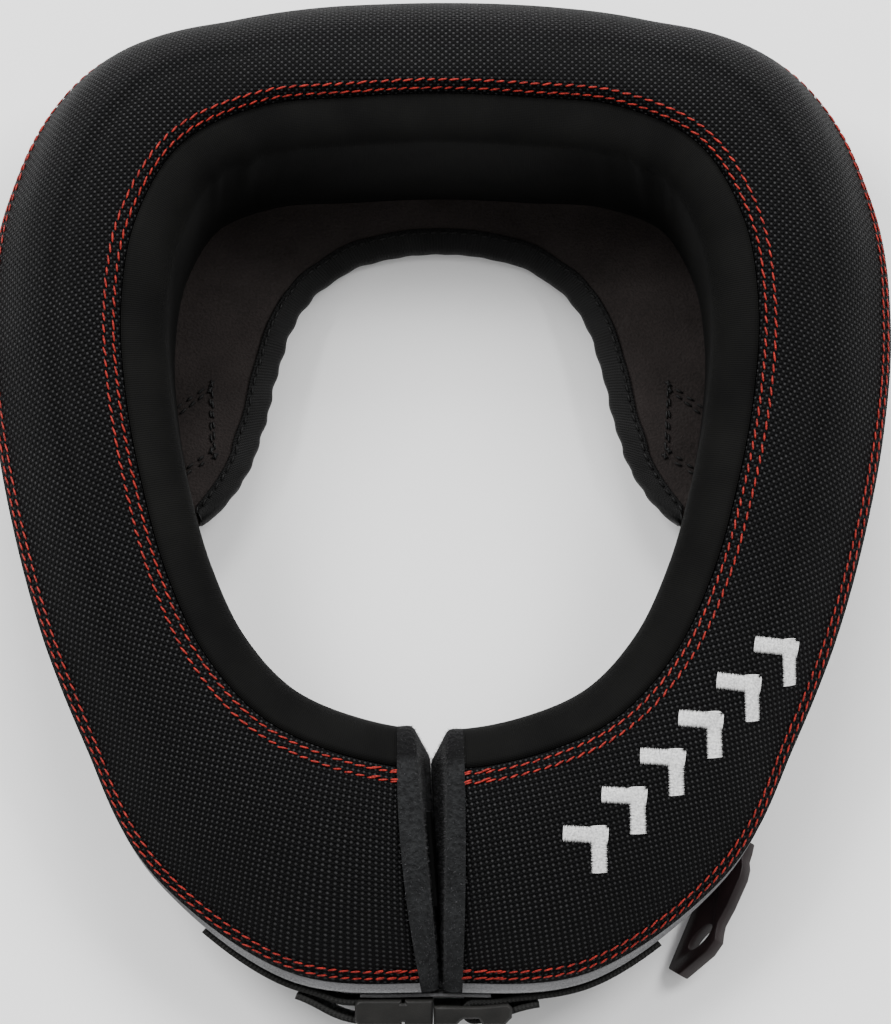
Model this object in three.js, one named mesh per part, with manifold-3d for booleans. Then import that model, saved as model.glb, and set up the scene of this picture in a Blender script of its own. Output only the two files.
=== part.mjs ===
// Motocross neck brace: a padded collar that opens at the front and closes with a side-release buckle.
// Millimetres, +Z up, the wearer's front towards -Y. The collar rests on its flat underside.
// A place round the collar is a "turn": 0 at the front, 1 at the back, and on to 2 at the front again.

import * as THREE from 'three';
import { mergeVertices } from 'three/addons/utils/BufferGeometryUtils.js';
import Module from 'manifold-3d';

// Gap between pieces that lie on each other
const GAP = 0.3;

// The seam round the neck hole, and the widest stretch of the top cover outside it
const SEAM_WIDTH = 202;
const SEAM_DEPTH = 214.5;
const TOP_WIDTH = 66.9;

// Heights of the seam at the front and back, and of the underside's arch over the shoulders
const FRONT_HEIGHT = 56;
const BACK_HEIGHT = 80;
const ARCH = 10;
const WALL_HEIGHT = 30;

// The lip of the neck hole, its stretch lining and the lower wall
const LIP = 14.5;
const LIP_DROP = 12;
const LINING = 2;
const BASE = 2.5;
const BULGE = 2.5;
const BULGE_DROP = 4;
const FRONT_LEAN = THREE.MathUtils.degToRad(13);
const SIDE_LEAN = THREE.MathUtils.degToRad(24);
const FOOT_RADIUS = 7;

// The slot at the front, measured from the middle at the seam and at the outer edge, and its facings
const SLOT_RIGHT = 7.8;
const SLOT_RIGHT_OUTER = 7.2;
const SLOT_LEFT = 13.4;
const SLOT_LEFT_OUTER = 6.3;
const FACING = 4.6;
const FACING_PROUD = 0.6;
const FACING_ROUND = 1.8;
const PATCH = 1.2;
const PATCH_LENGTH = 30;
const PATCH_HEIGHT = 22;

// The facings lean towards each other and nearly meet at the underside: where, at the neck hole
// and at the outer edge, and the gap that is left between them
const MEETING_INNER = -3.2;
const MEETING_OUTER = 0.4;
const MEETING_GAP = 0.8;
const FACE_MIDDLE = 24;

// The yoke and the tape folded round its edge
const YOKE = 3;
const YOKE_TUCK = 9;
const YOKE_REACH = 38.6;
const TAPE = 1;
const TAPE_WIDTH = 8;

// Webbing, buckle and the tongue behind it
const STRAP = 2;
const STRAP_WIDTH = 20;
const STRAP_FOLD = 20;
const STRAP_END_LEFT = -74;
const STRAP_END_RIGHT = 69;
const BUCKLE_LEFT = -26.7;
const BUCKLE_JOINT = -2.05;
const BUCKLE_RIGHT = 22.7;
const BUCKLE_HEIGHT = 26;
const BUCKLE_DEPTH = 8;
const BUCKLE_FOOT = 3;
const BAR_RADIUS = 1.6;
const GUARD = 1.2;
const GUARD_HEIGHT = 18;
const GUARD_LEFT = -25;
const GUARD_RIGHT = 16;

// Moulded tab at the lower right and the webbing that carries it. Its root is at a turn, and its
// course leaves the wall there at an angle and rises a little.
const TAB_LENGTH = 47;
const TAB_WIDTH = 14.4;
const TAB_DEPTH = 4.4;
const TAB_TILT = THREE.MathUtils.degToRad(45);
const TAB_TURN = 0.1905;
const TAB_FLARE = THREE.MathUtils.degToRad(24);
const TAB_RISE = THREE.MathUtils.degToRad(1.3);
const TAB_HOLE_LENGTH = 11;
const TAB_HOLE_WIDTH = 4.5;
const LOOP = 1.6;
const LOOP_WIDTH = 9;
const LOOP_LENGTH = 15;

// Thirteen sections from the front to the back, at equal steps along the seam.
// across and along place the seam, as shares of half its width and depth.
// top is the cover's width as a share of TOP_WIDTH, bulge that of the lower wall as a share of BULGE.
const RING_ROWS = [
  { across: 0.0, along: -1.0, top: 0.949, bulge: 1.0 },
  { across: 0.279, along: -0.962, top: 1.0, bulge: 0.9 },
  { across: 0.538, along: -0.855, top: 0.858, bulge: 0.35 },
  { across: 0.729, along: -0.662, top: 0.67, bulge: 0.0 },
  { across: 0.851, along: -0.423, top: 0.628, bulge: 0.0 },
  { across: 0.929, along: -0.166, top: 0.625, bulge: 0.0 },
  { across: 0.982, along: 0.096, top: 0.629, bulge: 0.0 },
  { across: 1.0, along: 0.361, top: 0.641, bulge: 0.0 },
  { across: 0.956, along: 0.624, top: 0.665, bulge: 0.0 },
  { across: 0.814, along: 0.852, top: 0.686, bulge: 0.0 },
  { across: 0.564, along: 0.964, top: 0.544, bulge: 0.0 },
  { across: 0.283, along: 0.989, top: 0.534, bulge: 0.0 },
  { across: 0.0, along: 1.0, top: 0.523, bulge: 0.0 },
];

// The top cover from the outer edge to the seam. out is a share of its width and fall a share
// of its whole fall, at the front and sides and, where the collar stands high, at the back.
const COVER_ROWS = [
  { frontOut: 1.0, frontFall: 1.0, backOut: 1.0, backFall: 1.0 },
  { frontOut: 0.88, frontFall: 0.72, backOut: 0.97, backFall: 0.7 },
  { frontOut: 0.7, frontFall: 0.43, backOut: 0.86, backFall: 0.38 },
  { frontOut: 0.5, frontFall: 0.2, backOut: 0.67, backFall: 0.16 },
  { frontOut: 0.32, frontFall: 0.06, backOut: 0.45, backFall: 0.06 },
  { frontOut: 0.15, frontFall: 0.0, backOut: 0.2, backFall: 0.0 },
  { frontOut: 0.0, frontFall: 0.0, backOut: 0.0, backFall: 0.0 },
];

// The yoke's reach from the wall, from its tips to the middle of the back, as shares of YOKE_REACH
const YOKE_ROWS = [0.57, 0.614, 0.744, 0.834, 0.915, 0.972, 1.0, 0.995, 0.896, 0.754, 0.585, 0.495, 0.472]
  .map((reach) => ({ reach }));

// Turns at which the yoke begins, over which its tips are rounded, and where the arch begins
const YOKE_TIP = 0.398;
const YOKE_ROUNDING = 0.062;
const YOKE_FOCUS_Y = 24;
const ARCH_START = 0.08;
const ARCH_SPAN = 0.3;
const END_BLEND = 0.09;
const CLIMB_POWER = 1.3;
const RING_STEPS = 60;
const LIP_STEPS = 4;
const TURN_STEP = 0.012;

const { cos, sin, tan, sqrt, min, max, abs, floor, sign, hypot, PI } = Math;
const { lerp, smoothstep } = THREE.MathUtils;

const COLOURS = {
  cover: { color: 0x15151a, roughness: 0.8, metalness: 0 },
  lining: { color: 0x101011, roughness: 0.75, metalness: 0 },
  base: { color: 0x76767a, roughness: 0.9, metalness: 0 },
  yoke: { color: 0x1f1b1a, roughness: 0.95, metalness: 0 },
  tape: { color: 0x101010, roughness: 0.8, metalness: 0 },
  facing: { color: 0x2d2e2f, roughness: 0.95, metalness: 0 },
  patch: { color: 0x0c0c0d, roughness: 1, metalness: 0 },
  webbing: { color: 0x131314, roughness: 0.8, metalness: 0 },
  plastic: { color: 0x232220, roughness: 0.5, metalness: 0 },
  tab: { color: 0x1b1415, roughness: 0.4, metalness: 0 },
};

// Value of a table's column, on a smooth curve through equally spaced rows mirrored past both ends
function column(rows, name, share, mirror = 1) {
  const last = rows.length - 1;
  const row = min(floor(share * last), last - 1);
  const f = share * last - row;
  const pick = (index) => {
    if (index < 0) return mirror * rows[-index][name];
    if (index > last) return mirror * rows[2 * last - index][name];
    return rows[index][name];
  };
  const [p, q, r, s] = [pick(row - 1), pick(row), pick(row + 1), pick(row + 2)];
  return 0.5 * (2 * q + (r - p) * f + (2 * p - 5 * q + 4 * r - s) * f ** 2 + (3 * q - p - 3 * r + s) * f ** 3);
}

// The same place as a share of the way to the back, on the right (1) or left (-1) side
function halfPlace(turn) {
  const folded = turn > 1 ? turn - 2 : turn;
  return { share: abs(folded), side: sign(folded) || 1 };
}

function seamPoint(turn) {
  const { share, side } = halfPlace(turn);
  const x = side * column(RING_ROWS, 'across', share, -1) * SEAM_WIDTH / 2;
  return new THREE.Vector2(x, column(RING_ROWS, 'along', share) * SEAM_DEPTH / 2);
}

// Seam point with the directions along the seam and outwards from it
function seamFrame(turn) {
  const along = seamPoint(turn + TURN_STEP).sub(seamPoint(turn - TURN_STEP)).normalize();
  return { point: seamPoint(turn), along, out: new THREE.Vector2(along.y, -along.x) };
}

// Turn near the front where a line a given distance outside the seam reaches x
function turnWhere(x, outset) {
  let low = -0.3;
  let high = 0.3;
  for (let pass = 0; pass < 40; pass += 1) {
    const middle = (low + high) / 2;
    const { point, out } = seamFrame(middle);
    if (point.x + outset(middle) * out.x < x) low = middle;
    else high = middle;
  }
  return (low + high) / 2;
}

// Sizes of the section at a turn
function sizesAt(turn) {
  const { share } = halfPlace(turn);
  const climb = ((1 - cos(PI * share)) / 2) ** CLIMB_POWER;
  const rise = smoothstep(share, ARCH_START, ARCH_START + ARCH_SPAN);
  const fall = smoothstep(1 - share, ARCH_START, ARCH_START + ARCH_SPAN);
  const under = ARCH * rise * fall;
  const bulge = max(0, column(RING_ROWS, 'bulge', share));
  return {
    climb,
    under,
    edge: under + WALL_HEIGHT,
    top: lerp(FRONT_HEIGHT, BACK_HEIGHT, climb),
    width: column(RING_ROWS, 'top', share) * TOP_WIDTH,
    bulge: BULGE * bulge,
    lean: tan(lerp(SIDE_LEAN, FRONT_LEAN, bulge)),
  };
}

// The turns of the two ends at the slot, and how far each end slants from the seam to the outer edge
const widthAt = (turn) => sizesAt(turn).width;
const RIGHT_END = turnWhere(SLOT_RIGHT, () => 0);
const LEFT_END = 2 + turnWhere(-SLOT_LEFT, () => 0);
const RIGHT_SLANT = turnWhere(SLOT_RIGHT_OUTER, widthAt) - RIGHT_END;
const LEFT_SLANT = 2 + turnWhere(-SLOT_LEFT_OUTER, widthAt) - LEFT_END;

function slantAt(turn) {
  const right = 1 - smoothstep(turn, RIGHT_END, RIGHT_END + END_BLEND);
  const left = smoothstep(turn, LEFT_END - END_BLEND, LEFT_END);
  return right * RIGHT_SLANT + left * LEFT_SLANT;
}

// Point of the collar from its place round the seam, distance outwards and height
function place(turn, outset, z) {
  const width = widthAt(turn);
  const shifted = turn + slantAt(turn) * outset / width;
  const reach = outset > 0 ? outset * widthAt(shifted) / width : outset;
  const { point, out } = seamFrame(shifted);
  return new THREE.Vector3(point.x + reach * out.x, point.y + reach * out.y, z);
}

// Sections, each a list of [outset, z] pairs

function coverProfile(turn) {
  const { width, top, edge, climb } = sizesAt(turn);
  const back = smoothstep(climb, 0.45, 1);
  return COVER_ROWS.map((row) => [
    width * lerp(row.frontOut, row.backOut, back),
    top - (top - edge) * lerp(row.frontFall, row.backFall, back),
  ]);
}

// The rounded lip from the seam to the wall, drawn a given depth below the surface
function lipProfile(turn, depth) {
  const { top } = sizesAt(turn);
  const arc = [];
  for (let step = 0; step <= LIP_STEPS; step += 1) {
    const angle = (step / LIP_STEPS) * PI / 2;
    arc.push([-GAP - (LIP - GAP - depth) * sin(angle), top - LIP_DROP + (LIP_DROP - depth) * cos(angle)]);
  }
  return arc;
}

// The lower wall's outer face from the edge to the underside
function wallProfile(turn) {
  const { width, edge, under, bulge, lean } = sizesAt(turn);
  const shoulder = edge - GAP - BULGE_DROP;
  const foot = under + FOOT_RADIUS;
  const footOut = width + bulge - (shoulder - foot) * lean;
  return [
    [width, edge - GAP],
    [width + 0.75 * bulge, edge - GAP - BULGE_DROP / 2],
    [width + bulge, shoulder],
    [footOut, foot],
    [footOut - 0.3 * FOOT_RADIUS, under + 0.3 * FOOT_RADIUS],
    [footOut - FOOT_RADIUS, under],
  ];
}

// The same face moved inwards by a depth, down to the top of the underside panel
function wallInside(turn, depth) {
  const [edge, , shoulder, foot, heel, sole] = wallProfile(turn);
  const slope = 0.7 * depth;
  return [
    [edge[0] - depth, edge[1]],
    [shoulder[0] - depth, shoulder[1]],
    [foot[0] - depth, foot[1] + 0.3 * depth],
    [heel[0] - slope, heel[1] + slope],
    [sole[0] - 0.3 * depth, sole[1] + depth],
  ];
}

function paddedSection(turn) {
  const { under, top, edge } = sizesAt(turn);
  const bottom = under + BASE + GAP;
  const ceiling = bottom + YOKE + GAP;
  const side = wallInside(turn, BASE + GAP);
  side[0][1] = edge;
  return [
    ...side,
    [-LIP + YOKE_TUCK, bottom],
    [-LIP + YOKE_TUCK, ceiling],
    [-LIP + LINING + GAP, ceiling],
    ...lipProfile(turn, LINING + GAP).reverse(),
    [0, top - LINING - GAP],
    ...coverProfile(turn).reverse(),
  ];
}

function liningSection(turn) {
  const { share } = halfPlace(turn);
  const { under } = sizesAt(turn);
  const overYoke = smoothstep(share, YOKE_TIP - 0.02, YOKE_TIP - 0.006);
  const bottom = under + BASE + GAP + overYoke * (YOKE + GAP);
  return [
    ...lipProfile(turn, 0),
    [-LIP, bottom],
    [-LIP + LINING, bottom],
    ...lipProfile(turn, LINING).reverse(),
  ];
}

function baseSection(turn) {
  const { under } = sizesAt(turn);
  return [
    ...wallProfile(turn),
    [-LIP + BASE / 2, under],
    [-LIP, under + BASE / 2],
    [-LIP, under + BASE],
    [-LIP + YOKE_TUCK, under + BASE],
    ...wallInside(turn, BASE).reverse(),
  ];
}

// The outline of the whole collar, which the end facings cover
function collarOutline(turn) {
  const { under } = sizesAt(turn);
  return [
    ...coverProfile(turn).slice(1),
    ...lipProfile(turn, 0).slice(1),
    [-LIP, under + BASE],
    [-LIP + BASE, under],
    ...wallProfile(turn).reverse(),
  ].reverse();
}

// Geometry helpers

// Flat places of a loop of points, for closing its end with triangles
function flatLoop(ring) {
  const normal = new THREE.Vector3();
  ring.forEach((point, index) => {
    const next = ring[(index + 1) % ring.length];
    normal.add(new THREE.Vector3().crossVectors(point, next));
  });
  normal.normalize();
  const across = new THREE.Vector3().subVectors(ring[1], ring[0]).projectOnPlane(normal).normalize();
  const up = new THREE.Vector3().crossVectors(normal, across);
  return ring.map((point) => new THREE.Vector2(point.dot(across), point.dot(up)));
}

// Closed body through rings of equally many points, with its faces outwards. Each four-sided
// face is split from its lower inner corner, so that the faces of neighbouring pieces match.
function sweep(rings) {
  const count = rings[0].length;
  const faces = [];
  const rank = ({ x, y, z }) => z + 0.4 * hypot(x, y);
  for (let ring = 0; ring < rings.length - 1; ring += 1) {
    for (let side = 0; side < count; side += 1) {
      const next = (side + 1) % count;
      const [a, b] = [ring * count + side, ring * count + next];
      const [c, d] = [b + count, a + count];
      if (rank(rings[ring][side]) < rank(rings[ring][next])) faces.push([a, b, c], [a, c, d]);
      else faces.push([a, b, d], [b, c, d]);
    }
  }
  const first = THREE.ShapeUtils.triangulateShape(flatLoop(rings[0]), []);
  const last = THREE.ShapeUtils.triangulateShape(flatLoop(rings[rings.length - 1]), []);
  const end = (rings.length - 1) * count;
  faces.push(...first.map(([a, b, c]) => [c, b, a]));
  faces.push(...last.map(([a, b, c]) => [a + end, b + end, c + end]));
  const points = rings.flat();
  const volume = faces.reduce((sum, [a, b, c]) => {
    const normal = new THREE.Vector3().crossVectors(points[b], points[c]);
    return sum + points[a].dot(normal);
  }, 0);
  const index = faces.flatMap(([a, b, c]) => (volume > 0 ? [a, b, c] : [a, c, b]));
  const geometry = new THREE.BufferGeometry();
  geometry.setAttribute('position', new THREE.Float32BufferAttribute(points.flatMap((p) => p.toArray()), 3));
  geometry.setIndex(index);
  return geometry;
}

// Rings of the collar from a section at each turn
function collarRings(turns, section) {
  return turns.map((turn) => section(turn).map(([outset, z]) => place(turn, outset, z)));
}

const wasm = await Module();
wasm.setup();

function solidOf(geometry) {
  const bare = geometry.clone();
  bare.deleteAttribute('normal');
  bare.deleteAttribute('uv');
  const merged = mergeVertices(bare, 1e-4);
  return new wasm.Manifold(new wasm.Mesh({
    numProp: 3,
    vertProperties: new Float32Array(merged.attributes.position.array),
    triVerts: new Uint32Array(merged.index.array),
  }));
}

function geometryOf(solid) {
  const mesh = solid.getMesh();
  const geometry = new THREE.BufferGeometry();
  geometry.setAttribute('position', new THREE.BufferAttribute(new Float32Array(mesh.vertProperties), 3));
  geometry.setIndex(new THREE.BufferAttribute(new Uint32Array(mesh.triVerts), 1));
  return geometry;
}

const brace = new THREE.Group();

function addPiece(name, geometry, look) {
  const mesh = new THREE.Mesh(geometry, new THREE.MeshStandardMaterial(COLOURS[look]));
  mesh.name = name;
  brace.add(mesh);
  return mesh;
}

// Padded body, its lining and the lower panel, which run from one end of the slot to the other

const turns = [];
for (let step = 0; step <= RING_STEPS; step += 1) turns.push(lerp(RIGHT_END, LEFT_END, step / RING_STEPS));
for (const tip of [YOKE_TIP - 0.02, YOKE_TIP - 0.006]) turns.push(tip, 2 - tip);
turns.push(1);
const ringTurns = [...new Set(turns.sort((a, b) => a - b))];

addPiece('padded_ring', sweep(collarRings(ringTurns, paddedSection)), 'cover');
addPiece('inner_lining', sweep(collarRings(ringTurns, liningSection)), 'lining');
addPiece('base_panel', sweep(collarRings(ringTurns, baseSection)), 'base');

// End facings and the closure patch on the left one

function offsetLoop(loop, distance) {
  return loop.map(([x, y], index) => {
    const before = loop[(index + loop.length - 1) % loop.length];
    const after = loop[(index + 1) % loop.length];
    const run = [after[0] - before[0], after[1] - before[1]];
    const length = hypot(...run);
    return [x - (distance * run[1]) / length, y + (distance * run[0]) / length];
  });
}

// Ring of [outset, z] pairs at an end of the collar, moved into the slot by a depth.
// The end of the collar is a little hollow, and flat levels that out. closing is the share of
// its way that a ring leans towards the other end, all of it at the underside and none at the top.
function endRing(turn, loop, depth, flat, closing) {
  const { width, bulge, top } = sizesAt(turn);
  const way = turn < 1 ? -1 : 1;
  const inner = place(turn, -LIP, 0);
  const span = place(turn, width + bulge, 0).sub(inner);
  const intoSlot = new THREE.Vector3(-span.y, span.x, 0).setLength(way);
  return loop.map(([outset, z]) => {
    const share = (outset + LIP) / (width + bulge + LIP);
    const level = inner.clone().addScaledVector(span, share).setZ(z);
    const meeting = lerp(MEETING_INNER, MEETING_OUTER, share) - way * MEETING_GAP / 2;
    const open = abs(meeting - level.x - intoSlot.x * (GAP + FACING));
    const lean = open * closing * max(0, 1 - z / top);
    return place(turn, outset, z).lerp(level, flat).addScaledVector(intoSlot, depth + lean);
  });
}

function endFacing(turn) {
  const { edge } = sizesAt(turn);
  const outline = collarOutline(turn);
  const proud = offsetLoop(outline, FACING_PROUD).map((grown, index) => (
    outline[index][1] > edge + FACING_PROUD ? grown : outline[index]
  ));
  const face = offsetLoop(outline, -FACING_ROUND);
  const narrowed = face.map(([outset, z]) => [outset, lerp(FACE_MIDDLE, z, 0.1)]);
  return sweep([
    endRing(turn, proud, GAP, 0, 0),
    endRing(turn, proud, GAP + 0.5 * FACING, 0.6, 0.6),
    endRing(turn, offsetLoop(outline, -0.3 * FACING_ROUND), GAP + 0.85 * FACING, 1, 0.9),
    endRing(turn, face, GAP + FACING, 1, 1),
    endRing(turn, narrowed, GAP + FACING, 1, 1),
  ]);
}

function endPatch(turn) {
  const { width, edge } = sizesAt(turn);
  const middle = 0.425 * width;
  const centre = 0.97 * edge;
  const loop = [[-1, -1], [1, -1], [1, 1], [-1, 1]].map(([outward, up]) => [
    middle + outward * PATCH_LENGTH / 2,
    centre + up * PATCH_HEIGHT / 2,
  ]);
  const seat = FACING + 3 * GAP;
  return sweep([endRing(turn, loop, seat, 1, 1), endRing(turn, loop, seat + PATCH, 1, 1)]);
}

addPiece('end_facing_left', endFacing(LEFT_END), 'facing');
addPiece('end_facing_right', endFacing(RIGHT_END), 'facing');
addPiece('hook_patch', endPatch(LEFT_END), 'patch');

// Yoke: a sheet from under the padding to a U-shaped free edge, with tape folded round that edge

function yokeEdge(turn) {
  const { share } = halfPlace(turn);
  const wall = place(turn, -LIP, 0);
  const course = new THREE.Vector3(0, YOKE_FOCUS_Y, 0).sub(wall).normalize();
  const rounded = sqrt(1 - (1 - min(1, (share - YOKE_TIP) / YOKE_ROUNDING)) ** 2);
  const reach = rounded * YOKE_REACH * column(YOKE_ROWS, 'reach', (share - YOKE_TIP) / (1 - YOKE_TIP));
  return { wall, course, reach, edge: wall.clone().addScaledVector(course, reach) };
}

// Free edge at a turn: its height, and a function for points a given depth inside the edge line
function yokeFrame(turn) {
  const small = 0.0004;
  const { wall, course, reach, edge } = yokeEdge(turn);
  const run = yokeEdge(turn + small).edge.sub(yokeEdge(turn - small).edge).normalize();
  const square = max(0.35, course.x * -run.y + course.y * run.x);
  const inside = (depth) => edge.clone().addScaledVector(course, -min(depth / square, reach - 1));
  return { wall, inside, bottom: sizesAt(turn).under + BASE + GAP };
}

const raised = (point, z) => new THREE.Vector3(point.x, point.y, z);

function yokeRing(turn) {
  const { wall, inside, bottom } = yokeFrame(turn);
  const free = inside(TAPE + GAP);
  const middle = wall.clone().lerp(free, 0.5);
  const line = [place(turn, -LIP + YOKE_TUCK - GAP, 0), wall, middle, free];
  return [
    ...line.map((point) => raised(point, bottom)),
    ...line.reverse().map((point) => raised(point, bottom + YOKE)),
  ];
}

function tapeRing(turn) {
  const { inside, bottom } = yokeFrame(turn);
  const low = bottom - GAP - TAPE;
  const high = bottom + YOKE + GAP + TAPE;
  const section = [
    [TAPE_WIDTH, low], [TAPE, low], [0, low + TAPE], [0, high - TAPE], [TAPE, high], [TAPE_WIDTH, high],
    [TAPE_WIDTH, high - TAPE], [TAPE, high - TAPE], [TAPE, low + TAPE], [TAPE_WIDTH, low + TAPE],
  ];
  return section.map(([depth, z]) => raised(inside(depth), z));
}

const yokeTurns = ringTurns.filter((turn) => halfPlace(turn).share > YOKE_TIP + YOKE_ROUNDING);
for (const share of [0.02, 0.1, 0.25, 0.45, 0.75]) {
  const turn = YOKE_TIP + share * YOKE_ROUNDING;
  yokeTurns.push(turn, 2 - turn);
}
yokeTurns.sort((a, b) => a - b);

addPiece('neck_yoke', sweep(yokeTurns.map(yokeRing)), 'yoke');
addPiece('yoke_binding', sweep(yokeTurns.map(tapeRing)), 'tape');

// Everything on the front of the lower wall lies against its leaning face

// Point a distance square off the lower wall, from where the wall has a given x and a height
// above the underside
function offWall(x, distance, height) {
  const turn = turnWhere(x, (at) => sizesAt(at).width + sizesAt(at).bulge);
  const { under, edge, width, bulge, lean } = sizesAt(turn);
  const slope = Math.atan(lean);
  const shoulder = edge - GAP - BULGE_DROP;
  const outset = width + bulge - (shoulder - under - height) * lean + distance * cos(slope);
  const { point, out } = seamFrame(turn);
  const z = under + height - distance * sin(slope);
  return new THREE.Vector3(point.x + outset * out.x, point.y + outset * out.y, z);
}

// How far the wall behind the buckle stands forward of its middle
const BUCKLE_CENTRE = (BUCKLE_LEFT + BUCKLE_RIGHT) / 2;
const BUCKLE_ADVANCE = max(...[0, 0.25, 0.5, 0.75, 1].map((share) => {
  const x = lerp(BUCKLE_LEFT, BUCKLE_RIGHT, share);
  return offWall(BUCKLE_CENTRE, 0, 0).y - offWall(x, 0, 0).y;
}));

// The same as offWall, but flat like the buckle where x is on it or near its ends
function offBuckle(x, distance, height) {
  const beyond = abs(x - BUCKLE_CENTRE) - (BUCKLE_RIGHT - BUCKLE_LEFT) / 2;
  const flat = offWall(BUCKLE_CENTRE, distance, height).setX(x);
  flat.y -= BUCKLE_ADVANCE;
  return flat.lerp(offWall(x, distance, height), smoothstep(beyond, 2, 2 + BUCKLE_DEPTH));
}

// Flat band standing on its edge along a route of [x, distance off the wall] pairs
function band(route, thickness, low, high, seat = offWall) {
  const middles = route.map(([x, distance]) => seat(x, distance, (low + high) / 2));
  return sweep(route.map(([x, distance], index) => {
    const before = middles[max(index - 1, 0)];
    const after = middles[min(index + 1, route.length - 1)];
    const run = after.clone().sub(before).setZ(0).normalize();
    const half = new THREE.Vector3(run.y, -run.x, 0).multiplyScalar(thickness / 2);
    const foot = seat(x, distance, low);
    const head = seat(x, distance, high);
    return [foot.clone().sub(half), foot.clone().add(half), head.clone().add(half), head.clone().sub(half)];
  }));
}

const BUCKLE_MIDDLE = BUCKLE_FOOT + (BUCKLE_HEIGHT / 2) * cos(FRONT_LEAN);
const STRAP_LOW = BUCKLE_MIDDLE - (STRAP_WIDTH / 2) * cos(FRONT_LEAN);
const STRAP_HIGH = BUCKLE_MIDDLE + (STRAP_WIDTH / 2) * cos(FRONT_LEAN);
const BUCKLE_SEAT = 2 * GAP + GUARD;
const BAR_SEAT = BUCKLE_SEAT + BUCKLE_DEPTH / 2;
const TURN_RADIUS = BAR_RADIUS + GAP + STRAP / 2;

// Webbing from its sewn end along the wall, round a buckle bar and back over itself
function strapRoute(sewnX, barX) {
  const way = sign(barX - sewnX);
  const flat = GAP + STRAP / 2;
  const route = [];
  const leave = barX - way * 18;
  for (let step = 0; step <= 12; step += 1) route.push([lerp(sewnX, leave, step / 12), flat]);
  for (const share of [0.2, 0.4, 0.6, 0.8]) {
    route.push([lerp(leave, barX, share), lerp(flat, BAR_SEAT - TURN_RADIUS, smoothstep(share, 0, 0.8))]);
  }
  for (let step = 0; step <= 8; step += 1) {
    const angle = (step / 8) * PI;
    route.push([barX + way * TURN_RADIUS * sin(angle), BAR_SEAT - TURN_RADIUS * cos(angle)]);
  }
  for (const share of [0.3, 0.65, 1]) {
    const near = flat + STRAP + 2 * GAP;
    const x = barX - way * share * STRAP_FOLD;
    route.push([x, lerp(BAR_SEAT + TURN_RADIUS, near, smoothstep(share, 0, 1))]);
  }
  return route;
}

const SOCKET_BAR = BUCKLE_LEFT + 2.3;
const PLUG_BAR = BUCKLE_JOINT + 12.8;
const webbing = (sewnX, barX) => band(strapRoute(sewnX, barX), STRAP, STRAP_LOW, STRAP_HIGH, offBuckle);
addPiece('strap_left', webbing(STRAP_END_LEFT, SOCKET_BAR), 'webbing');
addPiece('strap_right', webbing(STRAP_END_RIGHT, PLUG_BAR), 'webbing');

const guardRoute = [];
for (let step = 0; step <= 8; step += 1) {
  guardRoute.push([lerp(GUARD_LEFT, GUARD_RIGHT, step / 8), GAP + GUARD / 2]);
}
const GUARD_LOW = BUCKLE_MIDDLE - GUARD_HEIGHT / 2;
addPiece('buckle_guard', band(guardRoute, GUARD, GUARD_LOW, GUARD_LOW + GUARD_HEIGHT), 'base');

// Buckle halves: a side profile through the webbing's thickness, cut open between two rails

// Side profile with its corners cut, from [x, y] points
function profileShape(points) {
  return new THREE.Shape(points.map(([x, y]) => new THREE.Vector2(x, y)));
}

function buckleHalf(points, windowFrom, windowTo, barX) {
  const bevel = 0.8;
  const body = new THREE.ExtrudeGeometry(profileShape(points), {
    depth: BUCKLE_HEIGHT - 2 * bevel,
    bevelEnabled: true,
    bevelThickness: bevel,
    bevelSize: bevel,
    bevelOffset: -bevel,
    bevelSegments: 1,
  });
  body.translate(0, 0, bevel - BUCKLE_HEIGHT / 2);
  const opening = STRAP_WIDTH + 2 * GAP;
  const window = new THREE.BoxGeometry(windowTo - windowFrom, 2 * BUCKLE_DEPTH, opening);
  window.translate((windowFrom + windowTo) / 2, -BUCKLE_DEPTH / 2, 0);
  const bar = new THREE.CylinderGeometry(BAR_RADIUS, BAR_RADIUS, opening + 1, 10);
  bar.rotateX(PI / 2);
  bar.translate(barX, -BUCKLE_DEPTH / 2, 0);
  return geometryOf(solidOf(body).subtract(solidOf(window)).add(solidOf(bar)));
}

// The buckle's own frame: x as on the collar, y = 0 on its inner face, z = 0 at its middle
function placeOnWall(mesh) {
  const seat = offBuckle(BUCKLE_CENTRE, BUCKLE_SEAT, BUCKLE_MIDDLE);
  mesh.position.set(0, seat.y, seat.z);
  mesh.rotation.x = FRONT_LEAN;
}

const CORNER = 1.2;
const GROOVE = 1;
const SOCKET_GROOVE = BUCKLE_LEFT + 14.7;
const socketProfile = [
  [BUCKLE_LEFT, -CORNER], [BUCKLE_LEFT, CORNER - BUCKLE_DEPTH],
  [BUCKLE_LEFT + CORNER, -BUCKLE_DEPTH], [SOCKET_GROOVE, -BUCKLE_DEPTH],
  [SOCKET_GROOVE, GROOVE - BUCKLE_DEPTH], [SOCKET_GROOVE + GROOVE, GROOVE - BUCKLE_DEPTH],
  [SOCKET_GROOVE + GROOVE, -BUCKLE_DEPTH], [BUCKLE_JOINT - GAP / 2, -BUCKLE_DEPTH],
  [BUCKLE_JOINT - GAP / 2, 0], [SOCKET_GROOVE + GROOVE, 0],
  [SOCKET_GROOVE + GROOVE, -GROOVE], [SOCKET_GROOVE, -GROOVE],
  [SOCKET_GROOVE, 0], [BUCKLE_LEFT + CORNER, 0],
];
placeOnWall(addPiece(
  'buckle_socket',
  buckleHalf(socketProfile, BUCKLE_LEFT - 2, SOCKET_BAR + TURN_RADIUS + STRAP / 2 + GAP, SOCKET_BAR),
  'plastic',
));

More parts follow.
